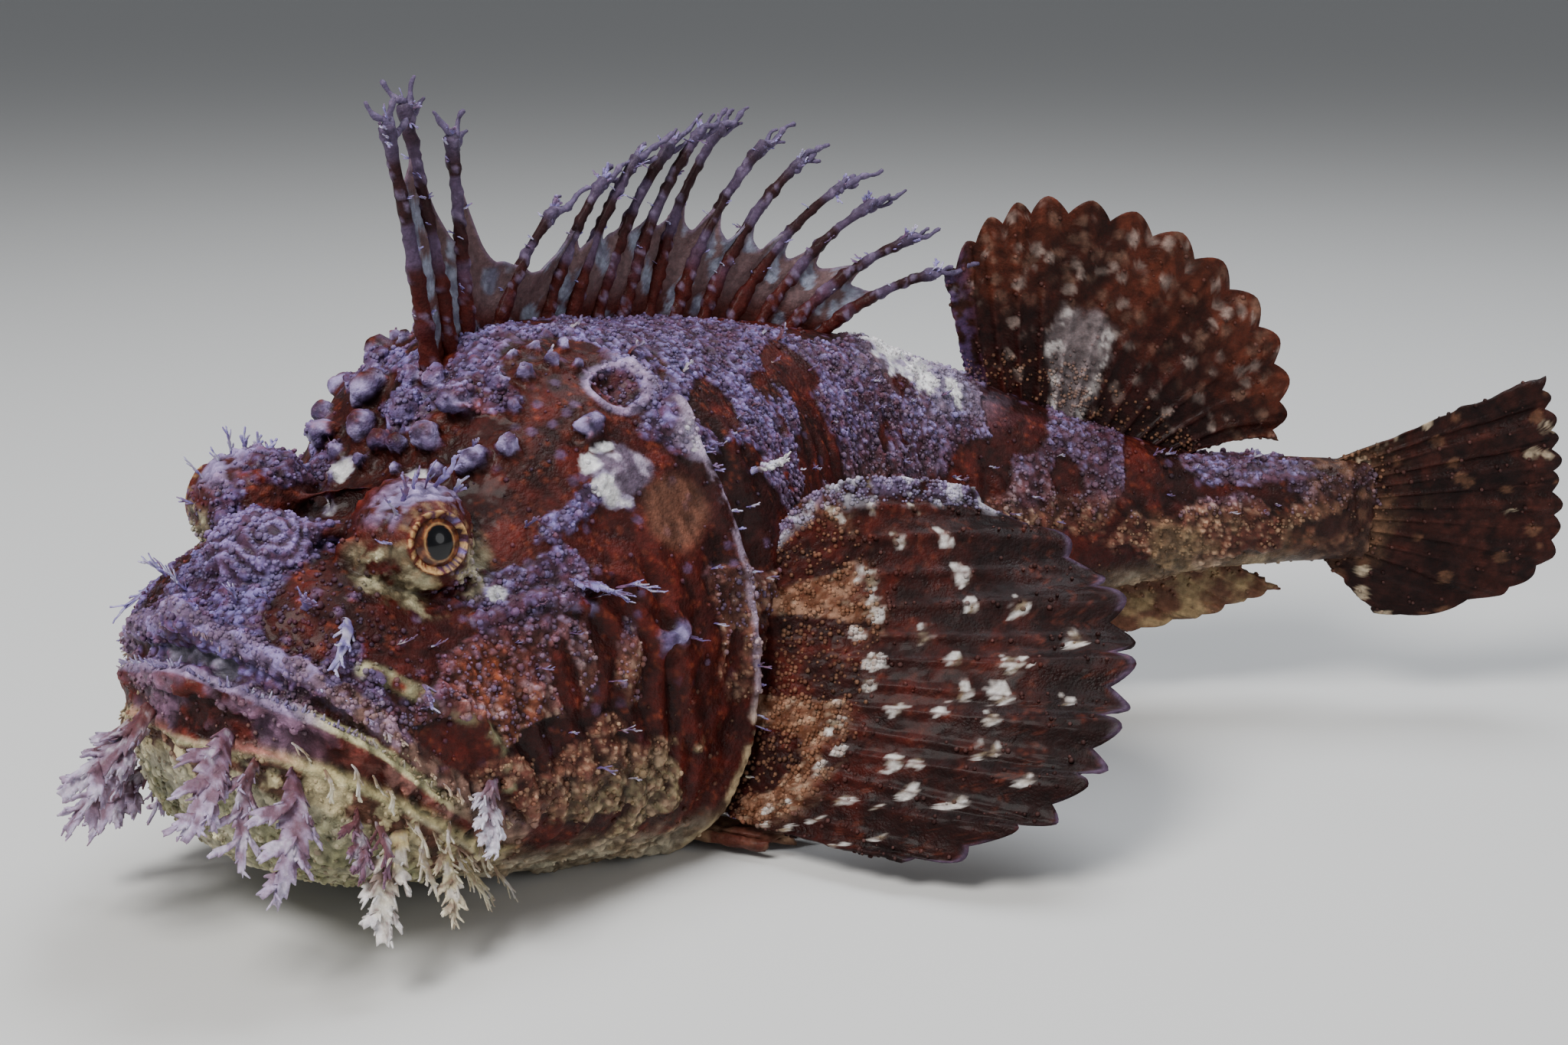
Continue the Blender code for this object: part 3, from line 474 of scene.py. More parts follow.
# Where the skin is bare (share below 0) or covered with pale grains: s, degrees, reach along, around, share
PATCHES = [
    (0.047, 94, 0.010, 0.0075, -2.0), (0.057, 95, 0.009, 0.0070, -1.8), (0.060, 122, 0.012, 0.006, -0.8),
    (0.020, 90, 0.012, 0.0120, 1.2), (0.004, 80, 0.010, 0.0120, 0.7), (0.012, 60, 0.009, 0.0055, -1.6),
    (0.022, 62, 0.006, 0.0050, -0.9), (0.054, 52, 0.006, 0.0040, -1.6), (0.0470, 50, 0.004, 0.0045, 0.9),
    (0.029, 38, 0.014, 0.0036, -1.6), (0.0645, 33, 0.008, 0.0050, 1.2), (0.0235, 27, 0.006, 0.0040, -1.4),
    (0.0275, 9, 0.009, 0.0055, -1.8), (0.040, 24, 0.013, 0.0080, 0.9), (0.0765, 73, 0.011, 0.0060, 0.9),
    (0.081, 57, 0.009, 0.0060, -1.5), (0.0715, 52, 0.011, 0.0055, -1.4),
    (0.078, 32, 0.0080, 0.0050, -2.0), (0.0955, 30, 0.010, 0.0110, -1.2),
    (0.0885, 71, 0.011, 0.0070, -1.6), (0.1445, 82, 0.030, 0.0090, 1.5), (0.1500, 65, 0.018, 0.0060, 1.3),
    (0.1460, 46, 0.007, 0.0080, 1.1), (0.178, 60, 0.011, 0.0090, -1.6), (0.129, 49, 0.0085, 0.0060, -1.5),
    (0.1775, 40, 0.008, 0.0100, -1.2), (0.132, 22, 0.008, 0.0090, -1.6), (0.1315, 11, 0.010, 0.0035, 1.1),
    (0.0705, 18, 0.0042, 0.0060, -1.5), (0.0835, 20, 0.0052, 0.0045, -1.3),
    (0.063, 18, 0.0040, 0.0090, 1.1), (0.0755, 12, 0.0042, 0.0090, 1.0),
    (0.059, 17, 0.0028, 0.0065, -1.4), (0.051, 7, 0.0060, 0.0035, -1.2), (0.080, 27, 0.013, 0.0032, -1.3),
    (0.0995, 8, 0.0042, 0.0110, -1.4), (0.064, -6, 0.020, 0.0070, 1.2), (0.205, 62, 0.012, 0.0070, 1.2),
    (0.2225, 66, 0.006, 0.0060, -1.3), (0.241, 55, 0.010, 0.0100, 0.9), (0.251, 28, 0.0070, 0.0062, -1.6),
    (0.2795, 30, 0.0075, 0.0065, -1.6), (0.2645, 12, 0.012, 0.0045, 1.2),
    (0.303, 48, 0.0080, 0.0110, -1.8), (0.2615, 70, 0.0080, 0.0120, -1.8),
    (0.2835, 62, 0.0065, 0.0170, 1.5), (0.321, -5, 0.020, 0.0070, 1.0), (0.321, 68, 0.018, 0.0050, 1.1),
    (0.190, 15, 0.010, 0.0080, -1.2), (0.215, 20, 0.009, 0.0070, 1.0), (0.232, 8, 0.0070, 0.0060, -1.2),
]
# White scars and dots: s, degrees, reach along and around
WHITE_SPOTS = [
    (0.0800, 45.5, 0.0028, 0.0034), (0.0808, 41, 0.0026, 0.0034), (0.0826, 37, 0.0030, 0.0030),
    (0.0850, 35.5, 0.0026, 0.0020), (0.0840, 46.5, 0.0040, 0.0014), (0.0780, 36.5, 0.0020, 0.0012),
    (0.0765, 34.5, 0.0014, 0.0016), (0.1095, 46, 0.0026, 0.0040), (0.1098, 42, 0.0024, 0.0034),
    (0.1108, 39, 0.0028, 0.0022), (0.0550, 100, 0.0034, 0.0032), (0.0465, 96, 0.0024, 0.0024),
    (0.0485, 105, 0.0017, 0.0015), (0.0330, 90, 0.0024, 0.0016), (0.0505, 42, 0.0024, 0.0020),
    (0.2250, 84, 0.0080, 0.0110), (0.2330, 72, 0.0060, 0.0090), (0.2430, 66, 0.0030, 0.0060),
    (0.2240, 96, 0.0080, 0.0110),
]
# Round-topped knobs of the skull: s, degrees, reach along and around, height
KNOBS = [
    (0.0625, 82, 0.0034, 0.0032, 0.0040), (0.0680, 62, 0.0030, 0.0027, 0.0036),
    (0.0628, 68, 0.0046, 0.0028, 0.0036), (0.0692, 79, 0.0056, 0.0030, 0.0040),
    (0.0760, 74, 0.0022, 0.0022, 0.0028), (0.0810, 70, 0.0029, 0.0024, 0.0032),
    (0.0840, 52, 0.0050, 0.0022, 0.0026), (0.0890, 75, 0.0016, 0.0016, 0.0020),
    (0.0835, 76, 0.0015, 0.0015, 0.0018), (0.0880, 69, 0.0019, 0.0019, 0.0022),
    (0.0965, 73, 0.0018, 0.0018, 0.0022), (0.0940, 66, 0.0014, 0.0014, 0.0016),
    (0.1010, 79, 0.0013, 0.0013, 0.0015), (0.0585, 76, 0.0018, 0.0018, 0.0022),
    (0.0560, 86, 0.0022, 0.0022, 0.0026), (0.0600, 92, 0.0024, 0.0024, 0.0030),
    (0.0660, 90, 0.0028, 0.0026, 0.0034), (0.0720, 88, 0.0022, 0.0022, 0.0028),
    (0.0530, 80, 0.0018, 0.0018, 0.0022), (0.0890, 12, 0.0034, 0.0026, 0.0026),
    (0.0740, 66, 0.0016, 0.0016, 0.0018),
]
# A thin raised line under the eye, one along the upper jaw's bone, and one below the lower lip: s, z
CHEEK_LINE = [(0.0430, 40), (0.0500, 38), (0.0565, 36), (0.0620, 30), (0.0680, 24)]
JAW_LINE = [(0.0150, 32), (0.0215, 24), (0.0265, 20), (0.0350, 14), (0.0390, 6), (0.0410, 0)]
CHIN_LINE = [
    (0.0000, 0.0520), (0.0035, 0.0500), (0.0100, 0.0455), (0.0205, 0.0370), (0.0335, 0.0262),
    (0.0420, 0.0190)
]
# Bars that round the lips: edge, lift, inset, radius in the middle, how much thinner at the corners, sides
LIP_BARS = [
    (UPPER_LIP, 0.0025, 0.0010, 0.0025, 0.0006, 14), (UPPER_LIP, 0.0018, 0.0045, 0.0021, 0.0006, 12),
    (LOWER_LIP, -0.0022, 0.0010, 0.0027, 0.0009, 14), (LOWER_LIP, -0.0016, 0.0046, 0.0022, 0.0007, 12),
]


# The skin


def lip_path(edge, lift, inset):
    """A path along a lip from one corner of the mouth round the snout to the other."""
    s = np.array(
        [0.0435, 0.040, 0.036, 0.032, 0.028, 0.024, 0.020, 0.016, 0.012, 0.009, 0.006, 0.004, 0.002, 0.0005]
    )
    z = np.interp(s, [e[0] for e in edge], [e[1] for e in edge]) + lift
    left = np.stack([s, side(s, z) - inset, z], -1)[s > inset - 0.0008]
    nose = -0.0038 + inset
    rise = along_edge(nose, edge) + lift
    front = np.array([[nose + 0.0008, left[-1, 1] * 0.55, (rise + left[-1, 2]) / 2], [nose, 0, rise]])
    right = np.concatenate([left, front[:1]])[::-1] * [1, -1, 1]
    return np.concatenate([left, front, right])


def lip_bar(path, radius, taper, power, around):
    """A bar along a lip, thinner by taper at both corners of the mouth."""
    share = np.abs(np.linspace(-1, 1, len(path)))
    return tube_part(path, radius - taper * share**power, around=around)


def ridge_path(stations, degrees, count, mirrored, lift):
    """A path over the skin through places given by stations and degrees."""
    s = np.linspace(stations[0], stations[-1], count)
    return np.array([skin_point(x, smooth(x, stations, degrees), lift) for x in s]) * [1, mirrored, 1]


def body_with_mouth():
    """The plain body with the wedge of the open mouth cut out of it."""
    around = 96
    angles = np.arange(around) * 2 * pi / around
    stations = np.concatenate([[0, 0.0015, 0.004], np.linspace(0.008, BODY_LENGTH + 0.002, 150)])
    loops = [skin(np.full(around, s), angles) for s in stations]
    stem, stem_height = loops[-1], 0.0585
    for run, thin, tall in (
        (0.004, 0.84, 1.02), (0.007, 0.62, 1.0), (0.010, 0.40, 0.96), (0.013, 0.22, 0.90)
    ):
        loops.append((stem - [0, 0, stem_height]) * [1, thin, tall] + [run, 0, stem_height])
    points = np.concatenate(
        [np.reshape(loops, (-1, 3)), [[-0.003, 0, 0.060], [BODY_LENGTH + 0.0165, 0, 0.058]]]
    )
    base = make_mesh("base", points, ring_faces(len(loops), around))
    outline = UPPER_LIP + list(reversed(LOWER_LIP))
    n = len(outline)
    work = bmesh.new()
    corners = [work.verts.new((s, left, z)) for left in (-0.09, 0.09) for s, z in outline]
    work.faces.new(corners[:n])
    work.faces.new(corners[: n - 1 : -1])
    for i in range(n):
        j = (i + 1) % n
        work.faces.new((corners[i], corners[n + i], corners[n + j], corners[j]))
    bmesh.ops.recalc_face_normals(work, faces=work.faces)
    wedge = bpy.data.objects.new("wedge", bpy.data.meshes.new("wedge"))
    work.to_mesh(wedge.data)
    work.free()
    bpy.context.scene.collection.objects.link(wedge)
    modifier = base.modifiers.new("mouth", "BOOLEAN")
    modifier.operation = "DIFFERENCE"
    modifier.solver = "EXACT"
    modifier.object = wedge
    cut = bpy.data.meshes.new_from_object(base.evaluated_get(bpy.context.evaluated_depsgraph_get()))
    work = bmesh.new()
    work.from_mesh(cut)
    bmesh.ops.triangulate(work, faces=work.faces)
    work.to_mesh(cut)
    work.free()
    points, corners = arrays_of(cut)
    bpy.data.objects.remove(base)
    bpy.data.objects.remove(wedge)
    return points, corners.reshape(-1, 3)


def skin_parts():
    """The closed forms that make up the skin, on the straight fish, before they are fused."""
    draw = np.random.default_rng(SEED)
    parts = [body_with_mouth()]
    for edge, lift, inset, radius, taper, around in LIP_BARS:
        parts.append(lip_bar(lip_path(edge, lift, inset), radius, taper, 2, around))
    parts.append(ball_part((0.021, 0, 0.0860), (0.0120, 0.0125, 0.0092)))
    for edge, drop, inset, thick in (
        (UPPER_LIP, -0.0002, 0.0085, 0.0040), (LOWER_LIP, -0.0012, 0.0095, 0.0030)
    ):
        parts.append(lip_bar(lip_path(edge, drop, inset), thick, 0.6 * thick, 1, 12))
    chin = np.array([(s, side(s, z) - 0.0006, z) for s, z in CHIN_LINE])
    chin = np.concatenate([chin[::-1], [[-0.0022, 0, 0.0520]], chin * [1, -1, 1]])
    chin = np.stack(
        [np.interp(np.linspace(0, 1, 60), np.linspace(0, 1, len(chin)), chin[:, c]) for c in range(3)], -1
    )
    parts.append(tube_part(chin, 0.0016 + 0.0004 * np.sin(np.linspace(0, 40, 60)), around=10))
    for m in (1, -1):
        way = np.array([1, m, 1])
        centre, axis = EYE * way, EYE_AXIS * way
        parts.append(ball_part(centre - axis * TURRET_BACK, TURRET_RADII))
        parts.append(ball_part(centre, (EYE_RADIUS + 0.0017,) * 3))
        brow = (
            np.array(
                [[0.034, 0.016, 0.0905], [0.042, 0.012, 0.0925], [0.050, 0.006, 0.0945], [0.053, 0, 0.0955]]
            )
            * way
        )
        parts.append(tube_part(brow, [0.0022, 0.0016, 0.0015, 0.0015], around=10))
        link = np.array([[0.024, 0.008, 0.0925], [0.031, 0.013, 0.0915], [0.036, 0.019, 0.0925]]) * way
        parts.append(tube_part(link, 0.0018, around=10))
        cheek = ridge_path([0.046, 0.060, 0.076, 0.093], [44, 33, 26, 12], 24, m, -0.0016)
        parts.append(tube_part(cheek, 0.0026 * np.linspace(0.75, 1.15, 24), around=12))
        for line, radius in ((CHEEK_LINE, 0.0013), (JAW_LINE, 0.0015)):
            path = ridge_path([e[0] for e in line], [e[1] for e in line], 24, m, 0.0008)
            parts.append(tube_part(path, radius * (1 + 0.2 * np.sin(np.arange(24) * 1.9)), around=10))
        jaw = ridge_path([0.012, 0.025, 0.037, 0.0490], [42, 25, 9, -11], 24, m, -0.0022)
        parts.append(tube_part(jaw, np.linspace(0.0026, 0.0049, 24), around=12))
        nostril = np.array([0.027, m * 0.0185, 0.0885])
        parts.append(
            tube_part(
                [nostril - [0, 0, 0.003], nostril, nostril + [-0.001, m * 0.001, 0.0028]],
                [0.0026, 0.0021, 0.0016]
            )
        )
        hoop_at, out = skin_point(*PIT) * way, skin_normal(*PIT) * way
        one = unit(np.cross(out, [0, 0, 1.0]))
        two = np.cross(out, one)
        for t in np.linspace(0, 2 * pi, 33)[:-1]:
            parts.append(
                ball_part(hoop_at + 0.0078 * cos(t) * one + 0.0062 * sin(t) * two, (0.00115,) * 3, 12, 8)
            )
        parts.append(ball_part(skin_point(0.087, 41, -0.0041) * way, (0.0105, 0.0048, 0.0062)))
        parts.append(ball_part(skin_point(0.110, 45, -0.0024) * way, (0.0070, 0.0030, 0.0075)))
        for knob in KNOBS:
            parts += knob_parts(*knob, way, draw)
    return parts


def knob_parts(s, degrees, along, across, tall, way, draw):
    """A knob of the skull: a round head on a foot, a lobe leaning off it, and two small ones beside it."""
    normal, foot = skin_normal(s, degrees) * way, skin_point(s, degrees) * way

    def sideways():
        lean = draw.normal(0, 1, 3)
        return (lean - normal * (lean @ normal)) / np.linalg.norm(lean)

    head = ball_part(foot + normal * tall * 0.55, (along, across * 1.05, across * 1.1), 18, 12)
    stub = ball_part(foot, (along * 0.85, across * 0.85, across * 0.9), 14, 9)
    lobe = ball_part(
        foot + normal * tall * 0.35 + sideways() * along * 0.8, (along * 0.62, across * 0.7, across * 0.7),
        14, 9
    )
    parts = [head, stub, lobe]
    for _ in range(2):
        by = foot + sideways() * along * draw.uniform(0.8, 1.5) - normal * 0.0008
        parts.append(ball_part(by, (0.0004 + across * draw.uniform(0.35, 0.60),) * 3, 12, 8))
    return parts


def fused(parts):
    """One closed surface over all the forms, as quads."""
    points, faces = joined(parts)
    lump = make_mesh("lump", points, faces)
    remesh = lump.modifiers.new("remesh", "REMESH")
    remesh.mode = "VOXEL"
    remesh.voxel_size = VOXEL
    result = bpy.data.meshes.new_from_object(lump.evaluated_get(bpy.context.evaluated_depsgraph_get()))
    bpy.data.objects.remove(lump)
    points, loops = arrays_of(result)
    return points, loops.reshape(-1, 4)


def body_angle(p):
    """The angle round the body at points of the straight fish."""
    s = np.clip(p[:, 0], 0, BODY_LENGTH)
    mid = smooth(s, STATION, WIDEST)
    reach = np.where(p[:, 2] > mid, back_height(s) - mid, mid - belly_height(s))
    return np.arctan2((p[:, 2] - mid) / reach, p[:, 1] / smooth(s, STATION, HALF))


def upright(p):
    """How far up either side points lie: -90 degrees at the belly, 0 at mid height, 90 at the back."""
    degrees = np.degrees(body_angle(p))
    folded = np.abs(degrees)
    return np.where(folded > 90, 180 - folded, folded) * np.sign(degrees + 1e-9)


def reach_to(p, s, degrees, along, around):
    """Distance from a place on the nearer side, in units of its reaches along and around the body."""
    at = skin_point(s, degrees)
    best = np.full(len(p), 99.0)
    for m in (1, -1):
        off = p - at * [1, m, 1]
        best = np.minimum(
            best, np.sqrt((off[:, 0] / along) ** 2 + (off[:, 1] ** 2 + off[:, 2] ** 2) / around**2)
        )
    return best


def grain_field(p):
    """Above 0 where the skin is covered with pale grains, below 0 where it is bare and dark."""
    field = 3.6 * (fractal(p, 0.022, 601, 5) - 0.5) + 0.22 * ramp(upright(p), 0, 60) - 0.16
    for s, degrees, along, around, share in PATCHES:
        near = np.clip(1.55 - reach_to(p, s, degrees, along, around), 0, 1)
        field = field * (1 - 0.6 * near) + share * near * 0.9
    return field + 1.0 * (fractal(p, 0.0052, 611, 3) - 0.5)


def along_edge(s, edge):
    return np.interp(s, [e[0] for e in edge], [e[1] for e in edge])


def eye_angles(p, m):
    """Distance from an eye's centre, angle off its axis in degrees, and turn round the axis."""
    way = np.array([1, m, 1])
    rel, axis = p - EYE * way, EYE_AXIS * way
    far = np.linalg.norm(rel, axis=1)
    off = np.degrees(np.arccos(np.clip((rel @ axis) / (far + 1e-9), -1, 1)))
    one = unit(np.cross(axis, [0, 0, 1.0]))
    return rel, far, off, np.arctan2(rel @ np.cross(one, axis), rel @ one * m)


def chin_zones(p):
    """Shares of the lower jaw's red band and of the throat below the fold, and the lower lip's height."""
    s = p[:, 0]
    fold = along_edge(s, CHIN_LINE)
    front = 1 - ramp(s, 0.040, 0.056)
    low_lip = along_edge(s, LOWER_LIP)
    band = (
        front * between(p[:, 2], fold - 0.0004, fold + 0.0010, low_lip - 0.0020, low_lip + 0.0010)
    )
    return band, front * (1 - ramp(p[:, 2], fold - 0.0012, fold + 0.0002)), low_lip


def snout_boss(p):
    """Share of the round boss on the snout, and the rings of warts that run round it."""
    share = 1 - ramp(np.linalg.norm((p - [0.0205, 0, 0.0885]) * [1, 1, 1.2], axis=1), 0.0110, 0.0148)
    far = np.linalg.norm(
        np.stack([p[:, 0] - 0.0185, np.abs(p[:, 1]) - 0.0055, p[:, 2] - 0.0925], -1), axis=1
    )
    return share, np.sin(2 * pi * far / 0.0025 + 9 * (fractal(p, 0.006, 77, 2) - 0.5))


def gill_relief(lift, p, s, up):
    """The gill cover's free edge, the step behind it and the rays that fan out on it."""
    edge = s - gill(body_angle(p))
    on_sides = between(up, -86, -60, 56, 74)
    lift += on_sides * 0.0022 * between(edge, -0.010, -0.0012, -0.0006, 0.0010)
    lift -= on_sides * 0.0026 * between(edge, -0.0002, 0.0014, 0.004, 0.016)
    fan = np.sin(up * 0.42 + 9 * fractal(p, 0.02, 3, 2))
    lift += on_sides * 0.0004 * fan * between(edge, -0.034, -0.012, -0.004, 0.0)
    groove = np.exp(-(((edge + 0.030) / 0.0022) ** 2))
    lift -= on_sides * 0.0014 * groove * (1 - ramp(up, 18, 34)) * ramp(up, -50, -20)


def head_relief(lift, p, s, up):
    """Hollows between and behind the eyes, the pits of the skull, and the wrinkled boss of the snout."""
    for ds, dd, deep, wide in (
        (*PIT, 0.0042, 0.0056), (0.078, 34, 0.0030, 0.0075), (0.066, 50, 0.0016, 0.006)
    ):
        d = reach_to(p, ds, dd, wide, wide)
        lift -= deep * np.exp(-d * d)
    for centre, deep, wide in (
        ((0.0470, 0, 0.0900), 0.0036, 0.0075), ((0.0575, 0, 0.0985), 0.0020, 0.0060)
    ):
        d = np.linalg.norm((p - centre) * [1, 0.75, 1], axis=1) / wide
        lift -= deep * np.exp(-d * d)
    boss, rings = snout_boss(p)
    lift += boss * 0.00026 * rings


def fold_relief(lift, p, s, up):
    """Soft folds of the throat and breast, wrinkles down the flank and cheek, and creases of jaw and lip."""
    throat = (1 - ramp(up, -62, -30)) * between(s, 0.03, 0.06, 0.13, 0.17)
    folds = np.sin(np.abs(p[:, 1]) * 520 + 8 * fractal(p, 0.03, 5, 2))
    lift += throat * 0.0008 * folds * ramp(np.abs(p[:, 1]), 0.004, 0.02)
    trunk = ramp(s, 0.115, 0.14)
    lift += trunk * 0.0012 * (fractal(p * [1, 1, 0.45], 0.012, 11, 3) - 0.5)
    lift += 0.0022 * (fractal(p, 0.020, 21, 4) - 0.5)
    cheek = between(s, 0.02, 0.05, 0.09, 0.108) * between(up, -45, -20, 22, 40)
    lift += cheek * 0.00055 * np.sin(s * 780 + up * 0.08 + 9 * fractal(p, 0.012, 6, 2))
    band, _, _ = chin_zones(p)
    lift += band * (0.0005 * np.sin(s * 1500 + 60 * p[:, 1] + 6 * fractal(p, 0.008, 8, 2)) - 0.0004)
    high_lip = along_edge(s, UPPER_LIP)
    rim = (
        (1 - ramp(s, 0.040, 0.050))
        * between(p[:, 2], high_lip, high_lip + 0.001, high_lip + 0.004, high_lip + 0.0055)
    )
    lift += rim * 0.0004 * np.sin(s * 1700 + 300 * p[:, 1])


def wart_relief(lift, p, s, up):
    """Warts in three sizes, thickest where the skin is covered with grains, and lumps on the knobs."""
    pale = ramp(grain_field(p), -0.05, 0.12)
    _, under_chin, _ = chin_zones(p)
    crown = ramp(up, 34, 60) * (1 - ramp(s, 0.10, 0.13))
    snout = (1 - ramp(s, 0.020, 0.036)) * ramp(p[:, 2], 0.060, 0.074)
    middle, middle_name = domes(p, 0.0032, 41)
    small, small_name = domes(p, 0.0018, 51)
    lift += (
        middle * (middle_name > 0.35) * 0.0009
        * np.clip(0.15 + 0.5 * crown * pale + 0.5 * snout + 0.6 * pale, 0, 1.1)
    )
    lift += small * (small_name > 0.22) * 0.00048 * (0.25 + 0.75 * pale)
    beads, bead_name = domes(p, 0.0028, 61)
    lift += beads * (bead_name > 0.45) * 0.0007 * under_chin
    for m in (1, -1):
        _, far, off, turn = eye_angles(p, m)
        turret = (1 - ramp(far, 0.0150, 0.0185)) * ramp(off, 42, 48)
        grains = 0.00040 * small * (small_name > 0.3)
        grains = grains + 0.0007 * middle * (middle_name > 0.5) * ramp(np.sin(turn), 0.2, 0.7)
        lift += turret * grains
    lift += 0.00035 * pale * (1 - under_chin)
    lumps = 0.0020 * (fractal(p, 0.0042, 73, 3) - 0.5)
    for ds, dd, along, around, _ in KNOBS:
        on_knob = 1 - ramp(reach_to(p, ds, dd, along * 2.2, around * 2.2), 0.7, 1.0)
        lift += on_knob * (lumps + 0.00030 * small * (small_name > 0.4))


def side_line_relief(lift, p, s, up):
    """The side line: a row of low plates along the flank."""
    off_line = up - smooth(s, [0.10, 0.16, 0.25, 0.35], [44, 38, 24, 8])
    line = np.exp(-((off_line / 5.0) ** 2)) * ramp(s, 0.108, 0.122)
    lift += line * 0.0011 * (0.5 + 0.5 * np.cos(s * 2 * pi / 0.0075)) * (1 - ramp(s, 0.335, 0.350))


def shape_skin(p, faces):
    """Folds, pits, rims, warts and ridges pressed into the fused surface."""
    p = relax(p, faces, 3)
    lift = np.zeros(len(p))
    s, up = p[:, 0], upright(p)
    for press in (gill_relief, head_relief, fold_relief, wart_relief, side_line_relief):
        press(lift, p, s, up)
    p = p + vertex_normals(p, faces) * lift[:, None]
    # the opening in the lids, sunk under the eyeball, and a raised rim round it
    for m in (1, -1):
        rel, far, off, _ = eye_angles(p, m)
        close = (far < 0.0150) & (off < 75)
        target = EYE_RADIUS + 0.0012 + 0.0006 * ramp(off, 46, 40) + 0.0004 * ramp(off, 46, 62)
        target = target * ramp(off, 33, 37.5) + 0.0066 * (1 - ramp(off, 33, 37.5))
        blend = np.where(close, 1 - ramp(off, 52, 72), 0)
        p = p + (rel / (far[:, None] + 1e-9)) * ((target - far) * blend)[:, None]
    p[:, 2] = np.maximum(p[:, 2], 0.0)
    return p


def ground_colours(p, s, up, medium, fine, pale):
    """Bare red-brown skin with dark blotches, and the mauve, tan and orange skin under the pale grains. The
    mauve and lilac that increase up the sides are partly the skin's colour and partly painted light, the cool
    cast of light from above.
    """
    small, small_name = domes(p, 0.0018, 51)
    middle, middle_name = domes(p, 0.0032, 41)
    dark = mix(MAROON, RED, ramp(medium, 0.42, 0.66))
    dark = mix(dark, DARK, 0.70 * ramp(fractal(p, 0.014, 131, 4), 0.50, 0.62))
    dark = mix(
        dark, srgb(132, 60, 38),
        0.50 * ramp(small, 0.45, 0.85) * (small_name > 0.55) * ramp(medium, 0.36, 0.52)
    )
    dark = mix(
        dark, srgb(96, 72, 104), 0.7 * ramp(middle, 0.45, 0.75) * (middle_name > 0.87) * ramp(up, -5, 25)
    )
    # mauve above the middle of the sides, tan below: partly the skin's colour and partly painted light, the
    # cool cast of light from above
    grained = mix(srgb(118, 76, 60), srgb(96, 78, 120), ramp(up + 30 * (medium - 0.5), 14, 42))
    grained = mix(grained, LILAC, 0.75 * (1 - ramp(s, 0.020, 0.042)) * ramp(p[:, 2], 0.055, 0.068))
    # bluer lilac patches high on the sides: partly skin colour and partly the same painted cool light from
    # above
    grained = mix(
        grained, srgb(114, 102, 156), 0.85 * ramp(fractal(p, 0.018, 141, 3), 0.52, 0.66) * ramp(up, 20, 45)
    )
    for ds, dd, along, around, share in (
        (0.037, 25, 0.008, 0.0060, 0.85), (0.044, 22, 0.014, 0.0110, 0.45), (0.0690, 76, 0.006, 0.005, 0.6)
    ):
        near = 1 - ramp(reach_to(p, ds, dd, along, around) + 1.6 * (medium - 0.5), 0.35, 1.45)
        grained = mix(grained, ORANGE, share * near)
    # more mauve high on the rear trunk: partly skin colour and partly the same painted cool light from above
    grained = mix(grained, srgb(100, 80, 96), 0.55 * ramp(s, 0.17, 0.24) * ramp(up, 10, 40))
    green = (1 - ramp(up, -14, 4)) * between(s, 0.045, 0.065, 0.100, 0.112)
    grained = mix(grained, srgb(134, 124, 92), 0.8 * green)
    colour = mix(dark, grained, pale)
    # lilac grains high on the sides and tan ones low: partly the grains' colour and partly painted cool light
    # from above
    light = mix(PALE_LILAC, srgb(196, 164, 136), 1 - ramp(up, 8, 40))
    frost = ramp(fractal(p, 0.0090, 151, 3), 0.34, 0.60)
    colour = mix(
        colour, mix(MAROON, srgb(96, 48, 46), fine),
        pale * 0.62 * (1 - ramp(small + 0.5 * (fine - 0.5), 0.10, 0.50))
    )
    colour = mix(colour, MAROON, pale * 0.45 * (1 - frost))
    colour = mix(
        colour, light, pale * (0.25 + 0.40 * frost) * ramp(small, 0.50, 0.90) * (small_name > 0.30)
    )
    colour = mix(colour, light, pale * 0.35 * frost * ramp(middle, 0.5, 0.9) * (middle_name > 0.6))
    return colour


def belly_marks(colour, p, s, up, medium, fine):
    """The pale belly, and the pale breast behind the gill cover."""
    under = 1 - ramp(up + 22 * (medium - 0.5), -52, -30)
    belly = mix(THROAT, CREAM, ramp(fine * 0.5 + medium * 0.5, 0.42, 0.60))
    colour = mix(colour, belly, 0.92 * under * (1 - ramp(s, 0.19, 0.26) * 0.6))
    breast = (
        between(s, 0.086, 0.096, 0.132, 0.150) * (1 - ramp(up + 16 * (medium - 0.5), -22, -6))
        * ramp(s - gill(body_angle(p)), -0.001, 0.001)
    )
    colour = mix(colour, srgb(196, 160, 136), 0.85 * breast)
    return colour


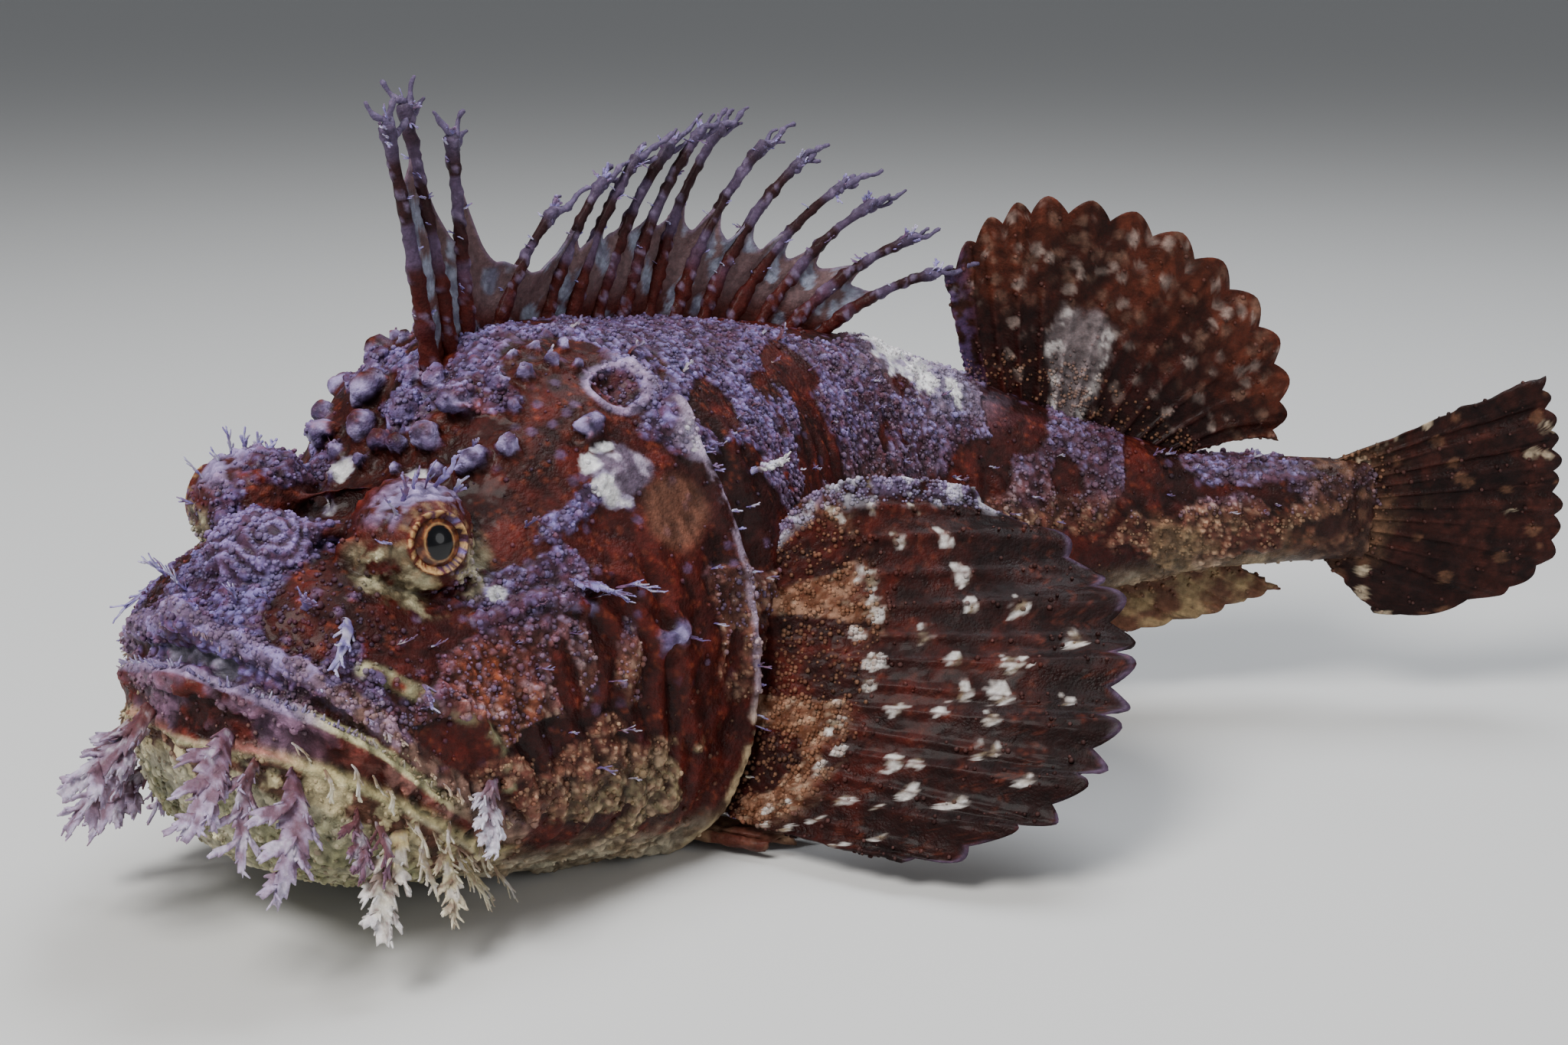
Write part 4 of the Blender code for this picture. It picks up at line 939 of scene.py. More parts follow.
def jaw_marks(colour, p, s, up, medium, fine):
    """The lower jaw: red band, cream fold, dark blotches between pale pillars, and the beaded throat."""
    band, under_chin, _ = chin_zones(p)
    jaw_red = mix(
        srgb(94, 34, 27), srgb(56, 18, 16),
        ramp(np.sin(s * 900 + 60 * p[:, 1] + 9 * medium) + 1.6 * (fine - 0.5), -0.2, 0.6)
    )
    front = (1 - ramp(s, 0.0030, 0.0080)) * ramp(medium, 0.34, 0.52)
    jaw_red = mix(jaw_red, srgb(124, 94, 118), 0.88 * front)
    jaw_red = mix(jaw_red, srgb(136, 96, 88), ramp(s, 0.004, 0.020) * ramp(fine, 0.46, 0.6) * 0.65)
    colour = mix(colour, jaw_red, band)
    throat = mix(GREEN_GREY, CREAM, ramp(medium, 0.46, 0.70) * 0.7)
    throat = mix(throat, srgb(120, 116, 92), 0.6 * ramp(fine, 0.52, 0.7))
    beads, bead_name = domes(p, 0.0028, 61)
    throat = mix(throat, srgb(236, 226, 188), 0.85 * ramp(beads, 0.50, 0.80) * (bead_name > 0.45))
    fold = along_edge(s, CHIN_LINE)
    below = fold - p[:, 2]
    blotch = ramp(below, 0.0008, 0.0022) * (1 - ramp(below + 0.010 * (medium - 0.5), 0.0075, 0.0110))
    pillar = ramp(np.sin(s * 2 * pi / 0.0085 + 14 * (medium - 0.5)) + 1.5 * (fine - 0.5), -0.1, 0.35)
    throat = mix(throat, mix(srgb(206, 190, 148), srgb(84, 34, 26), pillar), 0.9 * blotch)
    colour = mix(colour, throat, under_chin)
    on_fold = (1 - ramp(s, 0.044, 0.052)) * np.exp(-(((p[:, 2] - fold - 0.0004) / 0.0013) ** 2))
    fold_colour = mix(srgb(150, 96, 88), srgb(206, 192, 142), ramp(s, 0.0, 0.006))
    colour = mix(
        colour, fold_colour, 0.95 * on_fold * (np.abs(p[:, 1]) > side(np.clip(s, 0, 0.06), p[:, 2]) - 0.006)
    )
    return colour


def lip_marks(colour, p, s, up, medium, fine):
    """Lips mauve and tan with dark bars above, mauve then cream below, and the mouth's grey lining, darkened
    deeper in as painted shade.
    """
    high_lip, low_lip = along_edge(s, UPPER_LIP), along_edge(s, LOWER_LIP)
    jaw_part = 1 - ramp(s, 0.046, 0.052)
    upper = (
        jaw_part
        * between(p[:, 2], high_lip - 0.0022, high_lip - 0.0010, high_lip + 0.0046, high_lip + 0.0058)
    )
    lip_tone = mix(srgb(132, 100, 88), srgb(106, 86, 114), 1 - ramp(s, 0.002, 0.013))
    bars = ramp(np.sin(s * 2 * pi / 0.0052 + 16 * (medium - 0.5)) + 1.2 * (fine - 0.5), 0.15, 0.5)
    bars = bars * ramp(p[:, 2], high_lip + 0.0012, high_lip + 0.0024) * ramp(s, 0.003, 0.009)
    lip_tone = mix(lip_tone, MAROON, 0.85 * bars)
    lip_tone = mix(lip_tone, PALE_LILAC, 0.4 * ramp(fine, 0.5, 0.66) * (1 - 0.8 * ramp(s, 0.010, 0.022)))
    colour = mix(colour, lip_tone, 0.95 * upper)
    lower = jaw_part * np.exp(-(((p[:, 2] - low_lip + 0.0008) / 0.0019) ** 2))
    low_tone = mix(srgb(150, 130, 166), srgb(196, 190, 148), ramp(s, 0.003, 0.008))
    low_tone = mix(low_tone, srgb(150, 120, 104), ramp(s, 0.022, 0.032))
    colour = mix(colour, low_tone, 0.9 * ramp(lower, 0.25, 0.6))
    depth = np.minimum(side(np.clip(s, 0, 0.05), p[:, 2]) - np.abs(p[:, 1]), s + 0.0048)
    inside = (
        jaw_part * ramp(depth, 0.0042, 0.0056) * (p[:, 2] > low_lip - 0.0050)
        * (p[:, 2] < high_lip + 0.0060)
    )
    # painted shade: the lining's grey darkens deeper in the mouth and further back
    lining = mix(
        srgb(128, 122, 140), srgb(58, 40, 44), ramp(depth + 0.5 * ramp(s, 0.012, 0.022), 0.013, 0.026)
    )
    colour = mix(colour, lining, inside)
    return colour


def line_marks(colour, p, s, up, medium, fine):
    """The mauve line under the eye, the pale green one along the jaw bone, knobs and boss."""
    for line, tone, wide in (
        (CHEEK_LINE, srgb(150, 130, 172), 0.0018), (JAW_LINE, srgb(196, 192, 148), 0.0022)
    ):
        for ds in np.linspace(line[0][0], line[-1][0], 22):
            d = reach_to(p, ds, along_edge(ds, line), wide, wide)
            colour = mix(colour, tone, 0.9 * (1 - ramp(d, 0.6, 1.15)))
    for ds, dd, along, around, tall in KNOBS:
        d = reach_to(p, ds, dd, along * 2.1, around * 2.1)
        height = skin_height(p, ds, dd)
        colour = mix(
            colour, mix(MAROON, srgb(104, 44, 32), medium),
            0.75 * (1 - ramp(d, 0.7, 1.0)) * (1 - ramp(height, 0.0, tall * 0.35))
        )
        cap = (1 - ramp(d, 0.60, 0.90)) * ramp(height + 0.0008 * (fine - 0.5), tall * 0.20, tall * 0.75)
        colour = mix(
            colour, mix(srgb(100, 86, 128), srgb(152, 140, 184), ramp(fine, 0.36, 0.64)), 0.92 * cap
        )
    boss, rings = snout_boss(p)
    colour = mix(
        colour, mix(srgb(82, 52, 72), srgb(136, 118, 170), ramp(rings + 1.4 * (fine - 0.5), -0.6, 0.9)),
        0.85 * boss
    )
    return colour


def tail_marks(colour, p, s, up, medium, fine):
    """The pale saddle, the tail stem's sides and the dark skin at the tail fin's root."""
    near_white = np.exp(-(((s - 0.236) / 0.016) ** 2)) * ramp(up, 40, 66)
    colour = mix(colour, srgb(166, 156, 184), 0.7 * near_white * ramp(medium, 0.36, 0.52))
    stem = (
        ramp(s, 0.286, 0.306) * (1 - ramp(up, -6, 18)) * (1 - ramp(s + 0.02 * (medium - 0.5), 0.332, 0.350))
    )
    colour = mix(
        colour, mix(srgb(112, 84, 64), srgb(150, 132, 96), fine), 0.7 * stem * ramp(medium, 0.42, 0.58)
    )
    fin_root = ramp(s + 0.030 * (medium - 0.5), 0.334, 0.354)
    colour = mix(colour, mix(srgb(58, 30, 24), srgb(96, 66, 50), ramp(fine, 0.44, 0.64)), 0.92 * fin_root)
    return colour


def gill_marks(colour, p, s, up, medium, fine):
    """The gill cover's smooth brown skin, grey scars, white spots, pit darkened as painted shade, pale edge,
    and painted shadow in the slit behind its free edge.
    """
    smooth_skin = 1 - ramp(reach_to(p, 0.0975, 30, 0.0095, 0.0095) + 0.5 * (medium - 0.5), 0.7, 1.2)
    colour = mix(colour, srgb(118, 78, 62), 0.75 * smooth_skin)
    scar = 1 - ramp(reach_to(p, 0.0868, 40.8, 0.0092, 0.0058) + 0.6 * (fine - 0.5), 0.8, 1.05)
    colour = mix(
        colour, mix(srgb(116, 98, 120), srgb(184, 170, 192), ramp(0.35 * medium + 0.65 * fine, 0.40, 0.60)),
        0.92 * scar
    )
    flap = 1 - ramp(reach_to(p, 0.1110, 44, 0.0062, 0.0085) + 0.6 * (fine - 0.5), 0.8, 1.1)
    colour = mix(colour, srgb(150, 134, 160), 0.75 * flap)
    for ds, dd, along, around in WHITE_SPOTS:
        d = reach_to(p, ds, dd, along, around) + 1.7 * (fractal(p, 0.0034, 701, 4) - 0.5)
        colour = mix(
            colour, mix(srgb(186, 172, 204), WHITE, ramp(fine + 0.5 * (1 - d), 0.42, 0.66)),
            0.95 * (1 - ramp(d, 0.82, 1.10))
        )
    pit = reach_to(p, *PIT, 0.0066, 0.0056)
    # painted shade: the deep pit's hollow darkened to red-brown and black
    colour = mix(
        colour, mix(srgb(84, 32, 24), DARK, ramp(medium, 0.4, 0.6)), 0.85 * (1 - ramp(pit, 0.85, 1.0))
    )
    rim = between(pit, 0.98, 1.10, 1.32, 1.50)
    colour = mix(colour, srgb(164, 142, 178), 0.8 * rim)
    edge = s - gill(body_angle(p))
    flange = (
        between(edge, -0.0040, -0.0024, 0.0002, 0.0008) * between(up, -64, -50, 56, 66)
    )
    colour = mix(
        colour, mix(srgb(160, 142, 164), srgb(188, 168, 132), 1 - ramp(up, -20, 6)),
        0.75 * flange * ramp(fine, 0.30, 0.52)
    )
    # painted shadow in the slit behind the gill cover's free edge
    slit_shadow = (
        between(edge, 0.0002, 0.0009, 0.0022, 0.0046) * between(up, -60, -46, 50, 62)
    )
    colour = mix(colour, DARK, 0.75 * slit_shadow)
    return colour


def turret_marks(colour, p, s, up, medium, fine):
    """The eyes' turrets: rays of dark brown and grey-green, mauve on top, and a thin pale ring."""
    for m in (1, -1):
        _, far, off, turn = eye_angles(p, m)
        cone = (
            (1 - ramp(far + 0.004 * (medium - 0.5), 0.0150, 0.0185)) * between(off, 38, 44, 92, 118)
        )
        rays = ramp(np.sin(turn * 9 + 6 * (medium - 0.5)) + 1.4 * (fine - 0.5), -0.25, 0.25)
        top = ramp(np.sin(turn), 0.25, 0.8)
        low = ramp(-np.sin(turn), -0.1, 0.5) * ramp(medium + 0.5 * fine, 0.66, 0.84)
        tone = mix(
            srgb(80, 30, 22), srgb(136, 120, 88),
            (1 - rays) * low * ramp(off, 46, 60) * ramp(fine, 0.40, 0.60)
        )
        tone = mix(tone, srgb(86, 36, 28), 0.7 * ramp(np.sin(turn), -0.1, 0.3))
        ragged = ramp(0.6 * fine + 0.4 * medium, 0.42, 0.50)
        web = (
            ramp(np.cos(turn + 2.45), 0.62, 0.86) * ramp(off, 42, 47)
            + 0.8 * ramp(np.cos(turn + 0.5), 0.80, 0.93) * ramp(off, 48, 54)
        )
        tone = mix(
            tone, mix(srgb(122, 110, 86), srgb(176, 168, 136), ramp(fine, 0.46, 0.62)),
            np.clip(web, 0, 1) * ragged
        )
        tone = mix(tone, srgb(146, 130, 172), top * ramp(off, 56, 66) * ramp(fine, 0.36, 0.50))
        colour = mix(colour, tone, 0.92 * cone)
        ring = (far < 0.0125) * np.exp(-(((off - 38.6 - 0.4 * np.sin(turn * 11)) / 1.0) ** 2))
        colour = mix(colour, srgb(204, 162, 110), 0.95 * ramp(ring, 0.35, 0.7))
        whisker = (
            (far < 0.0140) * between(off, 39.5, 42, 52, 62)
            * ramp(np.sin(turn * 13 + 8 * medium), 0.35, 0.6)
        )
        colour = mix(colour, srgb(150, 118, 86), 0.55 * whisker)
    return colour


def colour_skin(p):
    """The skin's markings, and how far each point is covered with pale grains."""
    s, up = p[:, 0], upright(p)
    medium, fine = noises(p, (0.011, 111, 4), (0.0032, 121, 3))
    pale = ramp(grain_field(p), -0.05, 0.08)
    colour = ground_colours(p, s, up, medium, fine, pale)
    for mark in (belly_marks, jaw_marks, lip_marks, line_marks, tail_marks, gill_marks, turret_marks):
        colour = mark(colour, p, s, up, medium, fine)
    return colour * (0.66 + 0.50 * ramp(fine, 0.34, 0.66)[:, None]), pale


def skin_height(p, s, degrees):
    """Height of points above the plain body, measured along the normal at a place on the nearer side."""
    at, normal = skin_point(s, degrees), skin_normal(s, degrees)
    left = (p - at) @ normal
    right = (p - at * [1, -1, 1]) @ (normal * [1, -1, 1])
    return np.where(p[:, 1] >= 0, left, right)


def painted_relief_shading(p, faces, normals):
    """Painted shade and light for the skin's colours: below 1 in pits and grooves, as painted shade, and
    above 1 on warts and folds, as painted highlight, at two sizes of detail.
    """
    shade = np.ones(len(p))
    for rounds, share in ((2, 0.22), (10, 0.26)):
        hollow = ((relax(p, faces, rounds, 1.0) - p) * normals).sum(1)
        shade = shade - share * np.clip(hollow / (1.4 * hollow.std()), -1, 1)
    return shade


def build_skin():
    p, faces = fused(skin_parts())
    p = shape_skin(p, faces)
    normals = vertex_normals(p, faces)
    colours, pale = colour_skin(p)
    # painted shade in pits and grooves and painted light on warts and folds, multiplied into the colours,
    # weaker on pale colours
    strength = 1 - 0.65 * ramp(light_of(colours), 0.25, 0.60)
    colours = colours * (1 + strength * (painted_relief_shading(p, faces, normals) - 1))[:, None]
    obj = make_mesh("skin", place(p), faces)
    paint(obj, colours)
    return obj, p, normals, colours, pale


# Small pieces that grow on the skin, each with a place on the skin's unwrap


def unwrap_place(p):
    """Where points of the body lie on the skin's unwrap."""
    angle = body_angle(p)
    along = np.clip(p[:, 0] / WHOLE_LENGTH, 0, 1)
    return np.stack([0.03 + 0.94 * along, 0.03 + 0.94 * (angle + pi) / (2 * pi)], -1)


def coat_object(name, parts, colours, roots, slot, material):
    """One mesh from many small parts, with its unwrap for baking."""
    points, faces = joined(parts)
    obj = make_mesh(name, place(points), faces)
    paint(obj, np.concatenate(colours))
    start, uv = 0, np.zeros((len(points), 2))
    for (pts, _), root in zip(parts, roots):
        local = pts - pts.mean(0)
        size = np.abs(local).max() + 1e-9
        uv[start : start + len(pts)] = root + 0.0015 * local[:, :2] / size
        start += len(pts)
    bake_layout(obj, uv)
    dress(obj, material, slot)


def frame_round(normals):
    """Two directions square to each normal."""
    guide = np.where(np.abs(normals[:, 2:]) > 0.8, [[1.0, 0, 0]], [[0, 0, 1.0]])
    first = np.cross(normals, guide)
    first /= np.linalg.norm(first, axis=1)[:, None]
    return first, np.cross(normals, first)


def build_prickles(name, number, size, seed, p, normals, colours, pale):
    """Thousands of small pointed warts on the skin, thickest where it is covered with pale grains."""
    draw = np.random.default_rng(seed)
    up, s = upright(p), p[:, 0]
    band, under_chin, low_lip = chin_zones(p)
    high_lip = along_edge(s, UPPER_LIP)
    in_mouth = (s < 0.046) & (p[:, 2] > low_lip - 0.004) & (p[:, 2] < high_lip + 0.003)
    in_mouth &= np.abs(p[:, 1]) < side(np.clip(s, 0, 1), p[:, 2]) - 0.002
    weight = (
        0.06 + 1.0 * pale * ramp(up, -40, 10) + 0.9 * (1 - ramp(s, 0.014, 0.03)) * (p[:, 2] > high_lip)
        + 0.35 * under_chin
    )
    weight *= ((p[:, 2] > 0.003) & ~in_mouth) * (1 - 0.6 * band)
    boss, rings = snout_boss(p)
    weight *= 1 - boss + boss * (0.15 + 1.5 * ramp(rings, 0.0, 0.6))
    weight *= 1 - 0.9 * (1 - ramp(reach_to(p, 0.0865, 40.5, 0.0105, 0.0050), 0.8, 1.1))
    weight *= 1 - 0.8 * (1 - ramp(reach_to(p, 0.0975, 30, 0.0095, 0.0095), 0.8, 1.1))
    for ds in np.linspace(JAW_LINE[0][0], JAW_LINE[-1][0], 18):
        weight *= 0.15 + 0.85 * ramp(reach_to(p, ds, along_edge(ds, JAW_LINE), 0.0024, 0.0024), 0.7, 1.0)
    for s_knob, degrees, along, around, _ in KNOBS:
        weight *= 1 - 0.95 * (1 - ramp(reach_to(p, s_knob, degrees, along * 1.5, around * 1.5), 0.8, 1.2))
    for m in (1, -1):
        weight *= np.linalg.norm(p - EYE * [1, m, 1] - EYE_AXIS * [1, m, 1] * 0.006, axis=1) > 0.0074
    chosen = draw.choice(len(p), number, replace=False, p=weight / weight.sum())
    at, n, base = p[chosen], normals[chosen], colours[chosen]
    wide = size * draw.uniform(0.5, 1.35, number) * (1 + 0.5 * (draw.random(number) > 0.93))
    shade = draw.uniform(0.10, 0.62, number) * (0.50 + 0.50 * ramp(fractal(at, 0.012, 161, 3), 0.36, 0.60))
    shade = shade * (0.45 + 0.55 * pale[chosen])
    # lilac tips high on the sides and tan ones low: partly the warts' colour and partly painted cool light
    # from above
    light = np.where((up[chosen] < 8)[:, None], srgb(196, 160, 128), srgb(150, 137, 184))
    light = mix(light, srgb(150, 132, 158), ramp(s[chosen], 0.13, 0.20) * (up[chosen] >= 8))
    near_lip = (
        (1 - ramp((p[:, 2] - high_lip)[chosen], 0.0040, 0.0080)) * (1 - ramp(s[chosen], 0.045, 0.055))
    )
    light = mix(light, srgb(158, 128, 124), 0.75 * near_lip)
    return grain_mesh(name, at, n, base, light, shade, wide, draw, place, unwrap_place(at))


def grain_mesh(name, at, n, base, light, shade, wide, draw, settle, root):
    """Small leaning pointed warts as one mesh: a ring in the skin, a smaller ring above it and a tip."""
    first, second = frame_round(n)
    count, sides = len(at), 6
    tall = wide * draw.uniform(0.65, 1.25, count)
    sway = first * draw.normal(0, 0.16, count)[:, None] + second * draw.normal(0, 0.16, count)[:, None]
    lean = (sway + [0.10, 0, 0]) * tall[:, None]
    turns = np.arange(sides) * 2 * pi / sides
    circle = np.cos(turns)[None, :, None] * first[:, None] + np.sin(turns)[None, :, None] * second[:, None]
    low = at[:, None] - n[:, None] * 0.0003 + circle * wide[:, None, None]
    high = (
        at[:, None] + (n * tall[:, None] * 0.62 + lean * 0.5)[:, None]
        + circle * (wide * 0.80)[:, None, None]
    )
    tip = at + n * tall[:, None] + lean
    points = np.concatenate([low, high, tip[:, None]], 1)
    j = np.arange(sides)
    k = (j + 1) % sides
    local = np.concatenate([
        np.stack([j, k, sides + k], -1), np.stack([j, sides + k, sides + j], -1),
        np.stack([sides + j, sides + k, np.full(sides, 2 * sides)], -1),
        np.stack([np.zeros(sides - 2, int), j[2:], j[1:-1]], -1),
    ])
    faces = (local[None] + np.arange(count)[:, None, None] * (2 * sides + 1)).reshape(-1, 3)
    obj = make_mesh(name, settle(points.reshape(-1, 3)), faces)
    shade = shade[:, None]
    tint = base[:, None] * np.ones((1, 2 * sides + 1, 1))
    tint[:, sides:] = (base * (1 - 0.55 * shade) + light * 0.55 * shade)[:, None]
    tint[:, -1] = base * (1 - shade) + light * shade
    paint(obj, tint.reshape(-1, 3))
    around = np.stack([np.cos(turns), np.sin(turns)], -1)
    patch_uv = np.concatenate([around * 0.0014, around * 0.0008, [[0, 0]]])
    bake_layout(obj, (root[:, None] + patch_uv[None]).reshape(-1, 2))
    return obj


def build_fin_grains(sheets):
    """Warts on the fleshy roots of the fins and sparsely along their rays."""
    draw = np.random.default_rng(SEED + 31)
    at, n, base, light, root = [], [], [], [], []
    for k, (sheet, count, reach) in enumerate(sheets):
        middle, normal, half, ridge, tints, u, t = sheet
        light_here = light_of(tints).reshape(t.shape)
        frosted = (u < 0.06) * (count > 2000)
        weight = (
            (1 - ramp(t, reach * 0.8, reach * 1.2)) * (0.25 + 8 * light_here) + 0.16 * ridge + 2.2 * frosted
        )
        weight = weight * (t > 0.10) * (t < 0.97)
        chosen = draw.choice(weight.size, count, replace=False, p=weight.ravel() / weight.sum())
        face = draw.choice([-1.0, 1.0], count)[:, None]
        out = normal.reshape(-1, 3)[chosen] * face
        at.append(middle.reshape(-1, 3)[chosen] + out * half.ravel()[chosen, None])
        n.append(out)
        base.append(tints[chosen])
        tone = np.where((t.ravel()[chosen] < reach)[:, None], srgb(170, 124, 96), srgb(112, 76, 72))
        light.append(np.where(frosted.ravel()[chosen, None], srgb(176, 164, 208), tone))
        root.append(
            np.stack(
                [(k + 0.1 + 0.8 * u.ravel()[chosen]) / len(sheets), 0.03 + 0.94 * t.ravel()[chosen]], -1
            )
        )
    at, n, base, light, root = [np.concatenate(part) for part in (at, n, base, light, root)]
    wide = 0.00060 * draw.uniform(0.5, 1.3, len(at))
    shade = draw.uniform(0.10, 0.70, len(at))
    obj = grain_mesh("fin_grains", at, n, base, light, shade, wide, draw, lambda q: q + SHIFT, root)
    dress(obj, fin_material, "fin")


TAB_FLOOR = 0.0014


def tab_axes(way):
    """Unit directions along a tab, across it and through it."""
    way = unit(np.asarray(way, float))
    across = unit(np.cross(way, [0.25, 0.35, 0.9]))
    return way, across, np.cross(across, way)


def blade(root, way, length, width, draw, rows=40, cols=9):
    """A thin plate with teeth along both edges, and how far out towards its tip each of its points is."""
    way, across, flat = tab_axes(way)
    t, v = np.meshgrid(np.linspace(0, 1, rows), np.linspace(-1, 1, cols), indexing="ij")
    wave = draw.uniform(0, 6)
    belly = (0.16 + 0.84 * np.sin(pi * np.clip(t * 0.84 + 0.08, 0, 1)) ** 0.8) * (1 - 0.45 * t**3)
    teeth = max(4, int(length / 0.0026))
    phase, sizes = draw.uniform(0, 1, 2), draw.uniform(0.25, 1.0, (2, teeth + 2))
    hand = (v > 0).astype(int)
    beat = t * teeth + phase[hand]
    saw = (beat % 1) * sizes[hand, np.floor(beat).astype(int)]
    wide = 0.5 * width * belly * (0.50 + 0.50 * saw)
    slide = 0.75 * length / teeth * saw * np.abs(v) ** 2
    bow = (
        0.10 * width * np.sin(6.0 * t + wave) * v
        + 0.16 * width * (noise(np.stack([t * 6, v * 1.3, t * 0 + wave], -1), 1.0, 7) - 0.5)
    )
    middle = (
        np.asarray(root) + way * (length * t + slide)[..., None] + across * (v * wide)[..., None]
        + flat * bow[..., None]
        - np.array([0, 0, 0.10 * length]) * (t**2)[..., None]
        + across * (0.05 * length * np.sin(4.5 * t + wave))[..., None]
    )
    half = (0.00050 * (1 - 0.75 * v**2) * (1 - 0.3 * t) + 0.00012)[..., None] * flat
    points = np.concatenate([(middle + half).reshape(-1, 3), (middle - half).reshape(-1, 3)])
    points[:, 2] = np.maximum(points[:, 2], TAB_FLOOR)
    quads = plate_faces(rows, cols)
    level = (0.80 * t + 0.35 * np.abs(v) ** 2 * t**0.5).ravel()
    part = points, np.concatenate([quads[:, :3], quads[:, [0, 2, 3]]])
    return part, np.concatenate([level, level]), middle, way, across


def leafy(root, way, length, width, draw, tint, tip_tint):
    """A lobed, torn skin tab: one toothed blade with smaller ones on both sides and a few short points."""
    part, level, middle, way, across = blade(root, way, length, width * 0.62, draw)
    parts, levels = [part], [level]
    rows, cols = middle.shape[:2]
    for b in range(5):
        t = (0.22, 0.34, 0.50, 0.62, 0.76)[b] + draw.uniform(-0.04, 0.04)
        hand = 1 if b % 2 else -1
        start = middle[int(t * (rows - 1)), cols // 2]
        turn = way * draw.uniform(0.8, 1.1) + across * hand * draw.uniform(0.7, 1.1)
        part, level, _, _, _ = blade(
            start, turn, length * draw.uniform(0.30, 0.42) * (1.15 - 0.5 * t), width * 0.36, draw, 22, 7
        )
        parts.append(part)
        levels.append(t * 0.6 + 0.75 * level)
    for _ in range(16):
        start = middle[draw.integers(rows // 5, rows), draw.choice([0, 1, cols - 2, cols - 1])]
        turn = unit(way + across * draw.normal(0, 0.9) + draw.normal(0, 0.3, 3))
        u = np.linspace(0, 1, 4)
        spur = start + turn * draw.uniform(0.0010, 0.0026) * u[:, None]
        spur[:, 2] = np.maximum(spur[:, 2], TAB_FLOOR)
        parts.append(tube_part(spur, 0.00042 * (1 - 0.6 * u), around=5))
        levels.append(np.full(22, 0.95))
    points, faces = joined(parts)
    level = np.concatenate(levels)
    colour = mix(tint, tip_tint, 1.25 * level - 0.15)
    mottle = fractal(points, 0.0026, 801, 3)
    colour = mix(
        colour, srgb(98, 54, 60), 0.70 * ramp(mottle, 0.49, 0.60) * (1 - 0.5 * ramp(level, 0.6, 1.0))
    )
    return (points, faces), mix(colour, srgb(232, 226, 240), 0.38 * ramp(mottle, 0.45, 0.34))


def tassel(root, way, length, width, draw, tint, tip_tint, branches, droop):
    """A flat fleshy tab with a ragged, fingered edge, as one part made of several flattened bars."""
    way, across, flat = tab_axes(way)
    steps = np.linspace(0, 1, 13)
    wave = draw.uniform(0, 6)
    path = np.array([
        root + way * length * t + np.array([0, 0, -1]) * droop * length * t * t
        + (across * 0.06 + flat * 0.05) * length * sin(4.5 * t + wave)
        for t in steps
    ])
    path[:, 2] = np.maximum(path[:, 2], TAB_FLOOR)
    stem = (
        0.5 * width * (0.20 + 0.30 * np.sin(pi * np.clip(steps * 0.85 + 0.05, 0, 1))) * (1 - 0.45 * steps)
    )
    stem = np.maximum(stem * (1 + 0.18 * np.sin(steps * 22 + wave)), 0.00045)
    parts = [tube_part(path, stem, around=10, flat=flat, flatness=0.28)]
    shares = [steps]
    for b in range(branches):
        t = 0.14 + 0.88 * (b + draw.uniform(0, 0.8)) / branches
        hand = 1 if b % 2 else -1
        at = np.array([np.interp(t, steps, path[:, c]) for c in range(3)])
        reach = width * (0.66 - 0.26 * min(t, 1)) * draw.uniform(0.55, 1.15)
        out = way * draw.uniform(0.55, 1.5) + across * hand * (1.0 - 0.55 * t) + flat * draw.normal(0, 0.25)
        out = unit(out)
        u = np.linspace(0, 1, 5)
        twig = at + out * reach * u[:, None] + way * 0.30 * reach * (u**2)[:, None]
        twig[:, 2] = np.maximum(twig[:, 2], TAB_FLOOR)
        broad = width * 0.092 * draw.uniform(0.7, 1.25) * (1 - 0.45 * u**1.3)
        parts.append(tube_part(twig, np.maximum(broad, 0.00034), around=7, flat=flat, flatness=0.36))
        shares.append(t + 0.35 * u)
        for _ in range(3 if width > 0.005 else 1):
            start = twig[draw.integers(1, 5)]
            turn = (
                out + across * draw.normal(0, 0.9) + way * draw.uniform(0, 0.8) + flat * draw.normal(0, 0.3)
            )
            turn = unit(turn)
            spur = start + turn * reach * draw.uniform(0.20, 0.40) * u[:, None]
            spur[:, 2] = np.maximum(spur[:, 2], TAB_FLOOR)
            thick = np.clip(width * 0.050 * (1 - 0.40 * u), 0.00026, 0.00060)
            parts.append(tube_part(spur, thick, around=5, flat=flat, flatness=0.5))
            shares.append(np.full(5, t + 0.45))
    points, faces = joined(parts)
    tints = []
    for (pts, _), share in zip(parts, shares):
        rings = len(share)
        sides = (len(pts) - 2) // rings
        level = np.concatenate([np.repeat(share, sides), [share[0], share[-1]]])
        tints.append(mix(tint, tip_tint, 1.35 * level - 0.25))
    colour = np.concatenate(tints)
    mottle = fractal(points, 0.0028, 801, 3)
    colour = mix(
        colour, srgb(112, 66, 68),
        0.60 * ramp(mottle, 0.52, 0.66) * (1 - 0.6 * ramp(light_of(colour), 0.4, 0.8))
    )
    colour = mix(colour, srgb(238, 230, 240), 0.45 * ramp(mottle, 0.46, 0.34))
    return (points, faces), colour


def light_of(colour):
    return colour.mean(-1)


PINK, PALE, BUTTER, RUSTY = srgb(134, 102, 126), srgb(190, 172, 206), srgb(196, 178, 128), srgb(104, 64, 64)
